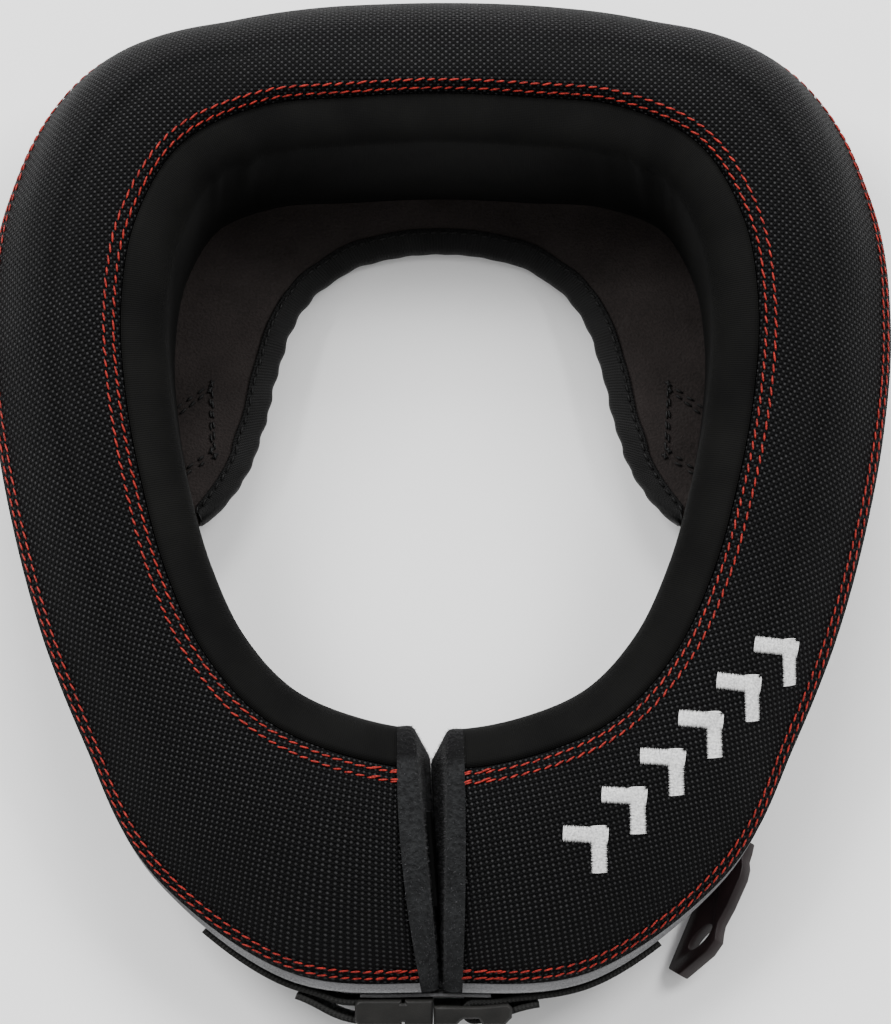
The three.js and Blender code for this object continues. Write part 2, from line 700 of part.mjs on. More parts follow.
const SHOULDER_END = BUCKLE_JOINT + 8.4;
const END_BLOCK = SHOULDER_END + 6;
const plugProfile = [
  [BUCKLE_JOINT + GAP / 2, -2], [BUCKLE_JOINT + GAP / 2, -BUCKLE_DEPTH],
  [SHOULDER_END - CORNER, -BUCKLE_DEPTH], [SHOULDER_END, CORNER - BUCKLE_DEPTH],
  [SHOULDER_END + CORNER, -6], [END_BLOCK, -6],
  [END_BLOCK + CORNER, -BUCKLE_DEPTH], [BUCKLE_RIGHT - 2 * CORNER, -BUCKLE_DEPTH],
  [BUCKLE_RIGHT, 2 * CORNER - BUCKLE_DEPTH], [BUCKLE_RIGHT, -2 * CORNER],
  [BUCKLE_RIGHT - CORNER, -CORNER], [END_BLOCK, -2],
];
placeOnWall(addPiece(
  'buckle_plug',
  buckleHalf(plugProfile, PLUG_BAR - TURN_RADIUS - STRAP / 2 - GAP, BUCKLE_RIGHT + 2, PLUG_BAR),
  'plastic',
));

// Moulded tab: a blade with a scalloped outer edge and a slanting oval hole.
// run is a share of its length from the tip, and out a share of its width from the inner edge.
const TAB_ROWS = [
  { run: 0.0, out: 0.0 }, { run: 1.0, out: 0.0 }, { run: 1.0, out: 0.72 }, { run: 0.93, out: 0.78 },
  { run: 0.87, out: 0.8 }, { run: 0.82, out: 0.91 }, { run: 0.74, out: 0.97 }, { run: 0.53, out: 0.94 },
  { run: 0.4, out: 0.88 }, { run: 0.34, out: 0.93 }, { run: 0.28, out: 1.0 }, { run: 0.19, out: 0.91 },
  { run: -0.02, out: 0.38 },
];
const tabShape = profileShape(TAB_ROWS.map(({ run, out }) => [run * TAB_LENGTH, out * TAB_WIDTH]));
const hole = new THREE.Path();
hole.absellipse(
  0.27 * TAB_LENGTH, 0.54 * TAB_WIDTH, TAB_HOLE_LENGTH / 2, TAB_HOLE_WIDTH / 2, 0, 2 * PI, true,
  THREE.MathUtils.degToRad(29),
);
tabShape.holes.push(hole);
const { point: tabSeam, along: tabAlong, out: tabOut } = seamFrame(TAB_TURN);
const [, , , , tabHeel] = wallProfile(TAB_TURN);
const tabRoot = tabSeam.clone().addScaledVector(tabOut, tabHeel[0] + GAP);
const tabPlan = tabAlong.clone().rotateAround(new THREE.Vector2(), TAB_FLARE);
const tabCourse = new THREE.Vector3(tabPlan.x, tabPlan.y, tan(TAB_RISE)).normalize();
const tabTip = new THREE.Vector3(tabRoot.x, tabRoot.y, tabHeel[1]).addScaledVector(tabCourse, -TAB_LENGTH);
const tabSide = new THREE.Vector3(tabCourse.y, -tabCourse.x, 0).normalize();
const tabAcross = tabSide.clone().applyAxisAngle(tabCourse, -TAB_TILT);
const tabDown = new THREE.Vector3().crossVectors(tabCourse, tabAcross);
const tabBasis = new THREE.Matrix4().makeBasis(tabCourse, tabAcross, tabDown);
const tab = addPiece('side_tab', new THREE.ExtrudeGeometry(tabShape, {
  depth: TAB_DEPTH, bevelEnabled: false, curveSegments: 8,
}), 'tab');
tab.setRotationFromMatrix(tabBasis);
tab.position.copy(tabTip);

// Webbing that carries the tab: it lies against the tab's end and runs up under the collar
const loop = addPiece('tab_loop', new THREE.BoxGeometry(LOOP_LENGTH, LOOP_WIDTH, LOOP), 'webbing');
loop.setRotationFromMatrix(tabBasis);
loop.position.copy(tabTip);
loop.position.addScaledVector(tabCourse, TAB_LENGTH + GAP + LOOP_LENGTH / 2);
loop.position.addScaledVector(tabAcross, 0.2 * TAB_WIDTH);
loop.position.addScaledVector(tabDown, TAB_DEPTH / 2);

// The origin lies below the middle of the whole brace, on the surface that it rests on
const bounds = new THREE.Box3().setFromObject(brace);
const centre = bounds.getCenter(new THREE.Vector3());
brace.position.set(-centre.x, -centre.y, -bounds.min.z);

export default brace;
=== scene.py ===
import functools
import math

import bmesh
import bpy
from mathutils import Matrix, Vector, noise
from mathutils.bvhtree import BVHTree


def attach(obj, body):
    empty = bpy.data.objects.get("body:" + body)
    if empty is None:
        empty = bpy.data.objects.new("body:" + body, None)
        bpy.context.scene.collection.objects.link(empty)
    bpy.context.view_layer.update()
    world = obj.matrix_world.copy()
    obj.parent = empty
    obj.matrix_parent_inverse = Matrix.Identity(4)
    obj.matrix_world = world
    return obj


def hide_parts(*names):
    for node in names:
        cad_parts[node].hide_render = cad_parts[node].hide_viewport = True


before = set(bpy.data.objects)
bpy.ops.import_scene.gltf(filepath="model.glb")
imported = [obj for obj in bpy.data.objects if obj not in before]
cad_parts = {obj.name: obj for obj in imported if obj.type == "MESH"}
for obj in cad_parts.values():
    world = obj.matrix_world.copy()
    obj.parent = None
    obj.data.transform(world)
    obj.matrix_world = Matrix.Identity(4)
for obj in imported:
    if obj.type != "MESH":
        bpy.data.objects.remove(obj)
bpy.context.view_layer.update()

# Camera: the collar lies on its underside and is seen from above with a long lens,
# leaning 13 degrees towards its front.
AIM = Vector((0.0018, 0.0005, 0.035))
LEAN_OF_VIEW = math.radians(13)
VIEW_DISTANCE = 1.5
LENS = 164.8
SENSOR = 36

view = bpy.data.objects.new("view", bpy.data.cameras.new("view"))
bpy.context.scene.collection.objects.link(view)
view.data.lens = LENS
view.data.sensor_width = SENSOR
view.data.clip_end = 20
towards_view = Vector((0, -math.sin(LEAN_OF_VIEW), math.cos(LEAN_OF_VIEW)))
view.location = AIM + VIEW_DISTANCE * towards_view
view.rotation_mode = "QUATERNION"
view.rotation_quaternion = (-towards_view).to_track_quat("-Z", "Y")
bpy.context.scene.camera = view

# Floor and light: a pale matt floor that reaches past the view, in an even white room with
# three soft boxes, as in a studio.
FLOOR_HALF = 6
FLOOR_CORNERS = [(x * FLOOR_HALF, y * FLOOR_HALF, 0) for x, y in ((-1, -1), (1, -1), (1, 1), (-1, 1))]
ROOM_LIGHT = 0.85

floor_mesh = bpy.data.meshes.new("floor")
floor_mesh.from_pydata(FLOOR_CORNERS, [], [(0, 1, 2, 3)])
floor = bpy.data.objects.new("floor", floor_mesh)
bpy.context.scene.collection.objects.link(floor)
floor_paint = bpy.data.materials.new("floor_paint")
floor_paint.use_nodes = True
floor_shader = floor_paint.node_tree.nodes["Principled BSDF"]
floor_shader.inputs["Base Color"].default_value = (0.9, 0.9, 0.9, 1)
floor_shader.inputs["Roughness"].default_value = 0.9
floor_mesh.materials.append(floor_paint)

sky = bpy.data.worlds.new("soft_room")
sky.use_nodes = True
sky.node_tree.nodes["Background"].inputs["Color"].default_value = (1, 1, 1, 1)
sky.node_tree.nodes["Background"].inputs["Strength"].default_value = ROOM_LIGHT
bpy.context.scene.world = sky


def soft_box(name, place, size, power):
    """A square lamp that shines on the middle of the collar."""
    lamp = bpy.data.lights.new(name, "AREA")
    lamp.size = size
    lamp.energy = power
    holder = bpy.data.objects.new(name, lamp)
    holder.location = place
    holder.rotation_mode = "QUATERNION"
    holder.rotation_quaternion = (AIM - Vector(place)).to_track_quat("-Z", "Y")
    bpy.context.scene.collection.objects.link(holder)


soft_box("lamp_left", (-1.2, 0.9, 1.5), 0.8, 40)
soft_box("lamp_right", (1.2, 0.8, 1.5), 0.8, 32)
soft_box("lamp_back", (0.0, 1.9, 1.4), 0.9, 44)

# Padded ring: a foam horseshoe under one skin of coarse black nylon, sewn to the lining round the
# neck hole and to the lower wall along the outer seam, and drawn down at both. From here on
# sizes are in mm. The ring leaves room for the cloth and the yoke round it.
GAP = 0.3
SEAM_WIDTH = 202.0
SEAM_DEPTH = 214.5
TOP_WIDTH = 66.9
FRONT_HEIGHT = 56.0
BACK_HEIGHT = 80.0
WALL_HEIGHT = 30.0
ARCH = 10.0
ARCH_START = 0.08
ARCH_SPAN = 0.3
CLIMB_POWER = 1.3
LIP = 14.5
LIP_DROP = 12.0
LINING = 2.0
PANEL = 2.5
YOKE = 3.0
YOKE_TUCK = 9.0
BULGE = 2.5
BULGE_DROP = 4.0
FOOT_RADIUS = 7.0
FRONT_LEAN = math.radians(13)
SIDE_LEAN = math.radians(24)
CREASE = 0.8
CREASE_WIDTH = 0.055
WAVES = 0.7
WAVE_LENGTH = 26.0
BACK_PUFF = 5.0
HEM = 1.3
SEAM_ROLL = 4.5
SEAM_DIP = 1.4
SEAM_DIP_BACK = 4.6
YARN = 1.22
GRAIN_SWING = math.radians(32)
ROW_SHIFT = 20.74
TURN_STEP = 0.012
STATIONS = 340

# From the front to the back along the seam: across and along place it as shares of half its
# size, then the cover's width and the lower wall's bulge as shares of the widest.
ACROSS, ALONG, TOP, SWELL = range(4)
RING_ROWS = (
    (0.0, -1.0, 0.949, 1.0),
    (0.279, -0.962, 1.0, 0.9),
    (0.538, -0.855, 0.858, 0.35),
    (0.729, -0.662, 0.67, 0.0),
    (0.851, -0.423, 0.628, 0.0),
    (0.929, -0.166, 0.625, 0.0),
    (0.982, 0.096, 0.629, 0.0),
    (1.0, 0.361, 0.641, 0.0),
    (0.956, 0.624, 0.665, 0.0),
    (0.814, 0.852, 0.686, 0.0),
    (0.564, 0.964, 0.544, 0.0),
    (0.283, 0.989, 0.534, 0.0),
    (0.0, 1.0, 0.523, 0.0),
)

# The cover from the seam to its outer edge: shares of its width and of its fall, at the front and
# at the back.
OUT_FRONT, FALL_FRONT, OUT_BACK, FALL_BACK = range(4)
COVER_ROWS = (
    (0.0, 0.0, 0.0, 0.0),
    (0.15, 0.0, 0.2, 0.0),
    (0.32, 0.06, 0.45, 0.06),
    (0.5, 0.2, 0.67, 0.16),
    (0.7, 0.43, 0.86, 0.38),
    (0.88, 0.72, 0.97, 0.7),
    (1.0, 1.0, 1.0, 1.0),
)


def smooth_step(value, low, high):
    share = min(1.0, max(0.0, (value - low) / (high - low)))
    return share * share * (3 - 2 * share)


def mix(low, high, share):
    return low + (high - low) * share


def curved(p, q, r, s, f):
    """Smooth curve between q and r, by the values on both sides of them."""
    return 0.5 * (2 * q + (r - p) * f + (2 * p - 5 * q + 4 * r - s) * f**2 + (3 * q - p - 3 * r + s) * f**3)


def curve_value(rows, column, share, mirror=1):
    """A table's column at a share of its length, on a smooth curve mirrored past both ends."""
    last = len(rows) - 1
    row = min(int(share * last), last - 1)

    def pick(index):
        if index < 0:
            return mirror * rows[-index][column]
        if index > last:
            return mirror * rows[2 * last - index][column]
        return rows[index][column]

    return curved(*(pick(row + step) for step in (-1, 0, 1, 2)), share * last - row)


def share_and_side(turn):
    """How far towards the back a turn is, and on which side: 1 right, -1 left."""
    folded = turn - 2 if turn > 1 else turn
    return abs(folded), (-1 if folded < 0 else 1)


def seam_point(turn):
    share, side = share_and_side(turn)
    x = side * curve_value(RING_ROWS, ACROSS, share, -1) * SEAM_WIDTH / 2
    return Vector((x, curve_value(RING_ROWS, ALONG, share) * SEAM_DEPTH / 2))


@functools.lru_cache(maxsize=None)
def seam_frame(turn):
    """Seam point and the direction outwards."""
    along = (seam_point(turn + TURN_STEP) - seam_point(turn - TURN_STEP)).normalized()
    return seam_point(turn), Vector((along.y, -along.x))


@functools.lru_cache(maxsize=None)
def sizes_at(turn):
    """Heights, widths and slope of the section at a turn."""
    share = share_and_side(turn)[0]
    climb = ((1 - math.cos(math.pi * share)) / 2) ** CLIMB_POWER
    rise = smooth_step(share, ARCH_START, ARCH_START + ARCH_SPAN)
    under = ARCH * rise * smooth_step(1 - share, ARCH_START, ARCH_START + ARCH_SPAN)
    swell = max(0.0, curve_value(RING_ROWS, SWELL, share))
    return {
        "climb": climb,
        "under": under,
        "edge": under + WALL_HEIGHT,
        "top": mix(FRONT_HEIGHT, BACK_HEIGHT, climb),
        "width": curve_value(RING_ROWS, TOP, share) * TOP_WIDTH,
        "bulge": BULGE * swell,
        "lean": math.tan(mix(SIDE_LEAN, FRONT_LEAN, swell)),
    }


def turn_where(x, outset):
    """Turn near the front where a line outside the seam reaches x."""
    low, high = -0.3, 0.3
    for _ in range(40):
        middle = (low + high) / 2
        point, out = seam_frame(middle)
        if point.x + outset(middle) * out.x < x:
            low = middle
        else:
            high = middle
    return (low + high) / 2


def width_at(turn):
    return sizes_at(turn)["width"]


# The slot: where its two sides lie at the neck hole and at the outer edge.
SLOT_RIGHT = 7.8
SLOT_RIGHT_OUTER = 7.2
SLOT_LEFT = -13.4
SLOT_LEFT_OUTER = -6.3
END_BLEND = 0.09
RIGHT_END = turn_where(SLOT_RIGHT, lambda turn: 0)
LEFT_END = 2 + turn_where(SLOT_LEFT, lambda turn: 0)
RIGHT_SLANT = turn_where(SLOT_RIGHT_OUTER, width_at) - RIGHT_END
LEFT_SLANT = 2 + turn_where(SLOT_LEFT_OUTER, width_at) - LEFT_END


def slant_at(turn):
    """How much the section is turned out of square, so that the ends follow the slot."""
    right = 1 - smooth_step(turn, RIGHT_END, RIGHT_END + END_BLEND)
    left = smooth_step(turn, LEFT_END - END_BLEND, LEFT_END)
    return right * RIGHT_SLANT + left * LEFT_SLANT


def place(turn, outset, z):
    """Point of the collar from its turn, way out from the seam and height."""
    slant = slant_at(turn)
    width = width_at(turn)
    shifted = turn + slant * outset / width if slant else turn
    reach = outset * width_at(shifted) / width if outset > 0 else outset
    point, out = seam_frame(shifted)
    return Vector((point.x + reach * out.x, point.y + reach * out.y, z))


def in_frame(point):
    """The same point in metres, with the object's middle at the origin."""
    return Vector((point.x, point.y + ROW_SHIFT, point.z)) / 1000


def through(values, position):
    """Value at a position between a list's numbers, on a smooth curve through them."""
    last = len(values) - 1
    row = min(int(position), last - 1)
    q, r = values[row], values[row + 1]
    p = values[row - 1] if row else 2 * q - r
    s = values[row + 2] if row + 2 <= last else 2 * r - q
    return curved(p, q, r, s, position - row)


def seam_dip(turn):
    """How deep the seam round the neck hole draws the cover down."""
    return mix(SEAM_DIP, SEAM_DIP_BACK, smooth_step(sizes_at(turn)["climb"], 0.6, 1))


def cover_line(turn, steps=30):
    """The cover from the seam to its outer edge, as pairs of way out and height. Its foam is
    creased half way out along the sides and swells over the outer seam at the back, and its
    skin is drawn in uneven waves."""
    sizes = sizes_at(turn)
    side = share_and_side(turn)[0]
    crease = CREASE * smooth_step(side, 0.12, 0.3) * smooth_step(1 - side, 0.1, 0.3)
    back = smooth_step(sizes["climb"], 0.45, 1)
    outs = [mix(row[OUT_FRONT], row[OUT_BACK], back) for row in COVER_ROWS]
    falls = [mix(row[FALL_FRONT], row[FALL_BACK], back) for row in COVER_ROWS]
    last = len(COVER_ROWS) - 1
    line = []
    for step in range(steps + 1):
        position = last * (step / steps) ** 1.15
        out = sizes["width"] * through(outs, position)
        z = sizes["top"] - (sizes["top"] - sizes["edge"]) * through(falls, position)
        share = out / sizes["width"]
        swelling = smooth_step(position, 1.5, 4.6) * (1 - smooth_step(position, 5.2, last))
        out += BACK_PUFF * smooth_step(sizes["climb"], 0.75, 1) * swelling
        out += HEM * (1 - sizes["bulge"] / BULGE) * smooth_step(position, 4.8, last)
        z -= crease * math.exp(-(((share - 0.5) / CREASE_WIDTH) ** 2))
        spot = place(turn, out, 0) / WAVE_LENGTH
        free = smooth_step(share, 0.05, 0.3) * (1 - smooth_step(share, 0.9, 1))
        z += WAVES * noise.noise(spot) * free
        roll = max(0.0, 1 - out / SEAM_ROLL) ** 2.2
        line.append((out, z - seam_dip(turn) * roll))
    return line


def along_line(line, distance):
    """Point a distance along a line of pairs, from its end where the distance is negative."""
    points = line if distance >= 0 else line[::-1]
    left = abs(distance)
    for start, end in zip(points, points[1:]):
        step = math.dist(start, end)
        if left <= step:
            return mix(start[0], end[0], left / step), mix(start[1], end[1], left / step)
        left -= step
    return points[-1]


def lining_arc(turn, depth, steps=10):
    """The rounded lip from the seam to the wall, a depth below its surface."""
    top = sizes_at(turn)["top"]
    rise = LIP_DROP - seam_dip(turn) - depth
    reach = LIP - GAP - depth
    arc = []
    for step in range(steps + 1):
        angle = step / steps * math.pi / 2
        arc.append((-GAP - reach * math.sin(angle), top - LIP_DROP + rise * math.cos(angle)))
    return arc


def wall_points(turn):
    """Outer face of the lower wall, from its edge down to the underside."""
    sizes = sizes_at(turn)
    width, bulge, under, edge = (sizes[key] for key in ("width", "bulge", "under", "edge"))
    shoulder = edge - GAP - BULGE_DROP
    foot = under + FOOT_RADIUS
    foot_out = width + bulge - (shoulder - foot) * sizes["lean"]
    return [
        (width, edge - GAP),
        (width + 0.75 * bulge, edge - GAP - BULGE_DROP / 2),
        (width + bulge, shoulder),
        (foot_out, foot),
        (foot_out - 0.3 * FOOT_RADIUS, under + 0.3 * FOOT_RADIUS),
        (foot_out - FOOT_RADIUS, under),
    ]


def distances_round(section):
    """Distance travelled round a closed section to each of its pairs, and back to the first."""
    travelled = [0.0]
    loop = section + section[:1]
    for start, end in zip(loop, loop[1:]):
        travelled.append(travelled[-1] + math.dist(start, end))
    return travelled


def add_piece(name, mesh):
    piece = bpy.data.objects.new(name, mesh)
    bpy.context.scene.collection.objects.link(piece)
    return piece


def lofted(name, rings, maps):
    """Closed mesh through rings of points, capped at both ends. Each ring's map has one pair
    more than the ring has points, so that the cloth's pattern closes too."""
    count = len(rings[0])
    points = [in_frame(point) for ring in rings for point in ring]
    faces, corners = [], []
    for ring in range(len(rings) - 1):
        for side in range(count):
            following = (side + 1) % count
            faces.append((
                ring * count + side,
                ring * count + following,
                (ring + 1) * count + following,
                (ring + 1) * count + side,
            ))
            corners += [maps[ring][side], maps[ring][side + 1]]
            corners += [maps[ring + 1][side + 1], maps[ring + 1][side]]
    last = (len(rings) - 1) * count
    faces.append(tuple(reversed(range(count))))
    corners += list(reversed(maps[0][:count]))
    faces.append(tuple(range(last, last + count)))
    corners += list(maps[-1][:count])
    mesh = bpy.data.meshes.new(name)
    mesh.from_pydata(points, [], faces)
    layer = mesh.uv_layers.new(name="cloth")
    for loop, (u, v) in enumerate(corners):
        layer.data[loop].uv = (u / 1000, v / 1000)
    shell = bmesh.new()
    shell.from_mesh(mesh)
    bmesh.ops.recalc_face_normals(shell, faces=shell.faces)
    shell.to_mesh(mesh)
    shell.free()
    mesh.shade_smooth()
    return add_piece(name, mesh)


def dress(piece, finish, node):
    """Gives a piece its finish, and lets it ride on the collar in the place of a CAD node."""
    piece.data.materials.append(finish)
    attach(piece, "root")
    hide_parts(node)


def add_node(tree, kind, inputs=None, **settings):
    """New node of a tree. Each input is a value, or the output that feeds it."""
    node = tree.nodes.new(kind)
    for key, value in settings.items():
        setattr(node, key, value)
    for socket, value in (inputs or {}).items():
        if isinstance(value, bpy.types.NodeSocket):
            tree.links.new(value, node.inputs[socket])
        else:
            node.inputs[socket].default_value = value
    return node


def sums(tree, operation, *values, clamp=False):
    """Result of one sum on numbers or outputs."""
    node = add_node(tree, "ShaderNodeMath", dict(enumerate(values)), operation=operation, use_clamp=clamp)
    return node.outputs[0]


def times(tree, *values):
    return sums(tree, "MULTIPLY", *values)


def scaled(tree, value, factor, offset):
    """Value times factor plus offset."""
    return sums(tree, "MULTIPLY_ADD", value, factor, offset)


def new_finish(name, roughness, sheen=0.0, sheen_roughness=0.5, shine=0.5):
    """Material with its shader's plain values set. Colour and bump are wired in by the caller."""
    finish = bpy.data.materials.new(name)
    finish.use_nodes = True
    shader = finish.node_tree.nodes["Principled BSDF"]
    shader.inputs["Roughness"].default_value = roughness
    shader.inputs["Sheen Weight"].default_value = sheen
    shader.inputs["Sheen Roughness"].default_value = sheen_roughness
    shader.inputs["Specular IOR Level"].default_value = shine
    return finish, finish.node_tree, shader


def colour_by(tree, shader, share, dark, light):
    """Colours a finish from dark, where the share is 0, to light, where it is 1."""
    blend = add_node(tree, "ShaderNodeMix", {0: share, 6: (*dark, 1), 7: (*light, 1)}, data_type="RGBA")
    tree.links.new(blend.outputs[2], shader.inputs["Base Color"])


def speckle(tree, scale, detail=3.0, low=0.3, high=0.7):
    """Noise on the piece itself, spread from 0 to 1."""
    spot = add_node(tree, "ShaderNodeTexCoord").outputs["Object"]
    cloudy = add_node(tree, "ShaderNodeTexNoise", {"Vector": spot, "Scale": scale, "Detail": detail})
    spread = add_node(tree, "ShaderNodeMapRange", {0: cloudy.outputs["Fac"], 1: low, 2: high})
    return spread.outputs[0]


def cloth_map(tree):
    """The two coordinates of a piece's cloth, in metres."""
    flat = add_node(tree, "ShaderNodeUVMap", uv_map="cloth")
    return add_node(tree, "ShaderNodeSeparateXYZ", {0: flat.outputs[0]})


def ridges(tree, across, pitch):
    """Sine wave of ridges a pitch apart, from -1 to 1, over an output in metres."""
    return sums(tree, "SINE", times(tree, across, 2 * math.pi * 1000 / pitch))


def raise_by(tree, shader, height, distance, strength=1.0):
    """Bump of a finish, by a height from 0 to 1 and a distance in metres."""
    bump = add_node(tree, "ShaderNodeBump", {"Height": height, "Distance": distance, "Strength": strength})
    tree.links.new(bump.outputs[0], shader.inputs["Normal"])


def ballistic_nylon():
    """Plain weave of thick yarns: the raised warp yarns' staggered dots are painted highlights, coloured
    lighter than the weft.
    """
    finish, tree, shader = new_finish("ballistic_nylon", 0.6, 0.0, 0.4, 0.05)
    cloth = cloth_map(tree)
    cross = times(tree, *(ridges(tree, cloth.outputs[axis], 2 * YARN) for axis in (0, 1)))
    # Painted highlight: the warp dots are lighter in colour, standing in for the light they catch.
    painted_glint_dots = add_node(
        tree, "ShaderNodeMapRange", {0: cross, 1: 0.2, 2: 0.95}, interpolation_type="SMOOTHSTEP",
    )
    uneven = scaled(tree, speckle(tree, 900, 1), 0.5, 0.5)
    # Large patches of brightness: partly dust, partly painted sheen.
    patches = scaled(tree, speckle(tree, 22, 4), 0.35, 0.72)
    light = times(tree, times(tree, painted_glint_dots.outputs[0], uneven), patches)
    colour_by(tree, shader, light, (0.0016, 0.0016, 0.0018), (0.036, 0.036, 0.037))
    raise_by(tree, shader, sums(tree, "ABSOLUTE", cross), 0.0004, 1.0)
    return finish


turns = [mix(RIGHT_END, LEFT_END, step / STATIONS) for step in range(STATIONS + 1)]


def grain_turn(turn):
    """How far the cloth's grain is turned from the back's, towards the ends of the horseshoe."""
    share, side = share_and_side(turn)
    return -side * GRAIN_SWING * smooth_step(0.8 - share, 0.05, 0.6)


def swung(way, swing):
    """A way in plan, as it lies in the flat cloth."""
    return Vector((
        way.x * math.cos(swing) + way.y * math.sin(swing),
        way.y * math.cos(swing) - way.x * math.sin(swing),
    ))


flat_seam = [seam_point(turns[0])]
for before, turn in zip(turns, turns[1:]):
    flat_seam.append(flat_seam[-1] + swung(seam_point(turn) - seam_point(before), grain_turn(turn)))

rings, maps = [], []
for turn, flat in zip(turns, flat_seam):
    edge, _, shoulder, foot, heel, sole = wall_points(turn)
    cover = cover_line(turn)
    within = PANEL + GAP
    bed = sizes_at(turn)["under"] + within
    ceiling = bed + YOKE + GAP
    section = cover + [
        (edge[0] - within, edge[1] - 0.4),
        (shoulder[0] - within, shoulder[1]),
        (foot[0] - within, foot[1] + 0.3 * within),
        (heel[0] - 0.7 * within, heel[1] + 0.7 * within),
        (sole[0] - 0.3 * within, sole[1] + within),
        (-LIP + YOKE_TUCK, bed),
        (-LIP + YOKE_TUCK, ceiling),
        (-LIP + LINING + GAP, ceiling),
        *lining_arc(turn, LINING + GAP, 4)[::-1],
        (0.0, cover[0][1] - LINING - GAP),
    ]
    rings.append([place(turn, out, z) for out, z in section])
    flat_out = swung(seam_frame(turn)[1], grain_turn(turn))
    maps.append([tuple(flat + flat_out * distance) for distance in distances_round(section)])

padded_cover = lofted("padded_cover", rings, maps)
dress(padded_cover, ballistic_nylon(), "padded_ring")
cover_surface = BVHTree.FromObject(padded_cover, bpy.context.evaluated_depsgraph_get())

# Topstitching: two rows of red thread beside the seam round the neck hole and two more above
# the outer seam, sewn through the cover and back-tacked at the slot.
STITCH_PITCH = 3.65
STITCH_LENGTH = 3.3
THREAD = 0.68
ROWS_FROM_SEAM = (2.3, 5.3)
ROWS_FROM_EDGE = (-2.2, -4.9)
ROW_STEPS = 700
ROW_LIFT = 0.25
TACK_STEPS = 7
TACK_ASIDE = 0.6
TACK_LIFT = 0.4


def growing_tree(name, start, numbers, material):
    """New tree that grows shapes on a starting mesh, with its named inputs."""
    tree = bpy.data.node_groups.new(name, "GeometryNodeTree")
    inputs = [(start, "Geometry"), *((number, "Float") for number in numbers)]
    for label, kind in (*inputs, ("Seed", "Int"), (material, "Material")):
        tree.interface.new_socket(label, in_out="INPUT", socket_type="NodeSocket" + kind)
    tree.interface.new_socket("Grown", in_out="OUTPUT", socket_type="NodeSocketGeometry")
    return tree, add_node(tree, "NodeGroupInput").outputs


def set_out(tree, points, shape, material, **placing):
    """Ends a tree: a shape on each point, made real and given its material."""
    instances = add_node(
        tree, "GeometryNodeInstanceOnPoints", {"Points": points, "Instance": shape, **placing}
    )
    real = add_node(tree, "GeometryNodeRealizeInstances", {0: instances.outputs[0]})
    dyed = add_node(tree, "GeometryNodeSetMaterial", {0: real.outputs[0], "Material": material})
    tree.links.new(dyed.outputs[0], add_node(tree, "NodeGroupOutput").inputs[0])
    return tree


def stitch_rows_tree():
    """Sets one stitch after another along the edges of a mesh, square to its facing attribute."""
    numbers = ("Pitch", "Length", "Width", "Height", "Slant", "Unevenness")
    tree, given = growing_tree("stitch_rows", "Rows", numbers, "Thread")
    course = add_node(tree, "GeometryNodeMeshToCurve", {0: given["Rows"]})
    even = add_node(
        tree,
        "GeometryNodeResampleCurve",
        {"Curve": course.outputs[0], "Length": given["Pitch"]},
        mode="LENGTH",
    )
    facing = add_node(tree, "GeometryNodeInputNamedAttribute", {"Name": "facing"}, data_type="FLOAT_VECTOR")
    ahead = add_node(
        tree,
        "FunctionNodeAlignRotationToVector",
        {"Vector": add_node(tree, "GeometryNodeInputTangent").outputs[0]},
        axis="X",
    )
    upright = add_node(
        tree,
        "FunctionNodeAlignRotationToVector",
        {"Rotation": ahead.outputs[0], "Vector": facing.outputs["Attribute"]},
        axis="Z",
        pivot_axis="X",
    )
    chance = add_node(
        tree, "FunctionNodeRandomValue", {"Min": (-1, -1, -1), "Max": (1, 1, 1), "Seed": given["Seed"]},
        data_type="FLOAT_VECTOR",
    )
    odd = add_node(tree, "ShaderNodeSeparateXYZ", {0: chance.outputs[0]}).outputs
    sway = times(tree, given["Unevenness"], 0.6)
    yaw = scaled(tree, odd[0], sway, given["Slant"])
    yaw_turn = add_node(tree, "ShaderNodeCombineXYZ", {2: yaw})
    turned = add_node(
        tree,
        "FunctionNodeRotateRotation",
        {"Rotation": upright.outputs[0], "Rotate By": yaw_turn.outputs[0]},
        rotation_space="LOCAL",
    )
    longer = scaled(tree, odd[1], given["Unevenness"], 1.0)
    size = add_node(tree, "ShaderNodeCombineXYZ", {
        0: times(tree, given["Length"], times(tree, longer, 0.5)),
        1: times(tree, given["Width"], 0.5),
        2: times(tree, given["Height"], 0.5),
    })
    bead = add_node(tree, "GeometryNodeMeshUVSphere", {"Segments": 8, "Rings": 5, "Radius": 1.0})
    round_bead = add_node(tree, "GeometryNodeSetShadeSmooth", {0: bead.outputs[0]})
    return set_out(
        tree, even.outputs[0], round_bead.outputs[0], given["Thread"],
        Rotation=turned.outputs[0], Scale=size.outputs[0],
    )


stitch_rows = stitch_rows_tree()
LENGTH_INPUTS = ("Pitch", "Length", "Width", "Height", "Radius")


def grown(name, start, tree, **sizes):
    """Plain mesh piece that a tree grows from a starting mesh. Lengths are given in mm."""
    seedling = add_piece(name + "_start", start)
    modifier = seedling.modifiers.new("grow", "NODES")
    modifier.node_group = tree
    for item in tree.interface.items_tree:
        if item.in_out == "INPUT" and item.name in sizes:
            value = sizes[item.name]
            modifier[item.identifier] = value / 1000 if item.name in LENGTH_INPUTS else value
    evaluated = seedling.evaluated_get(bpy.context.evaluated_depsgraph_get())
    grown_mesh = bpy.data.meshes.new_from_object(evaluated)
    bpy.data.objects.remove(seedling)
    grown_mesh.name = name
    return add_piece(name, grown_mesh)


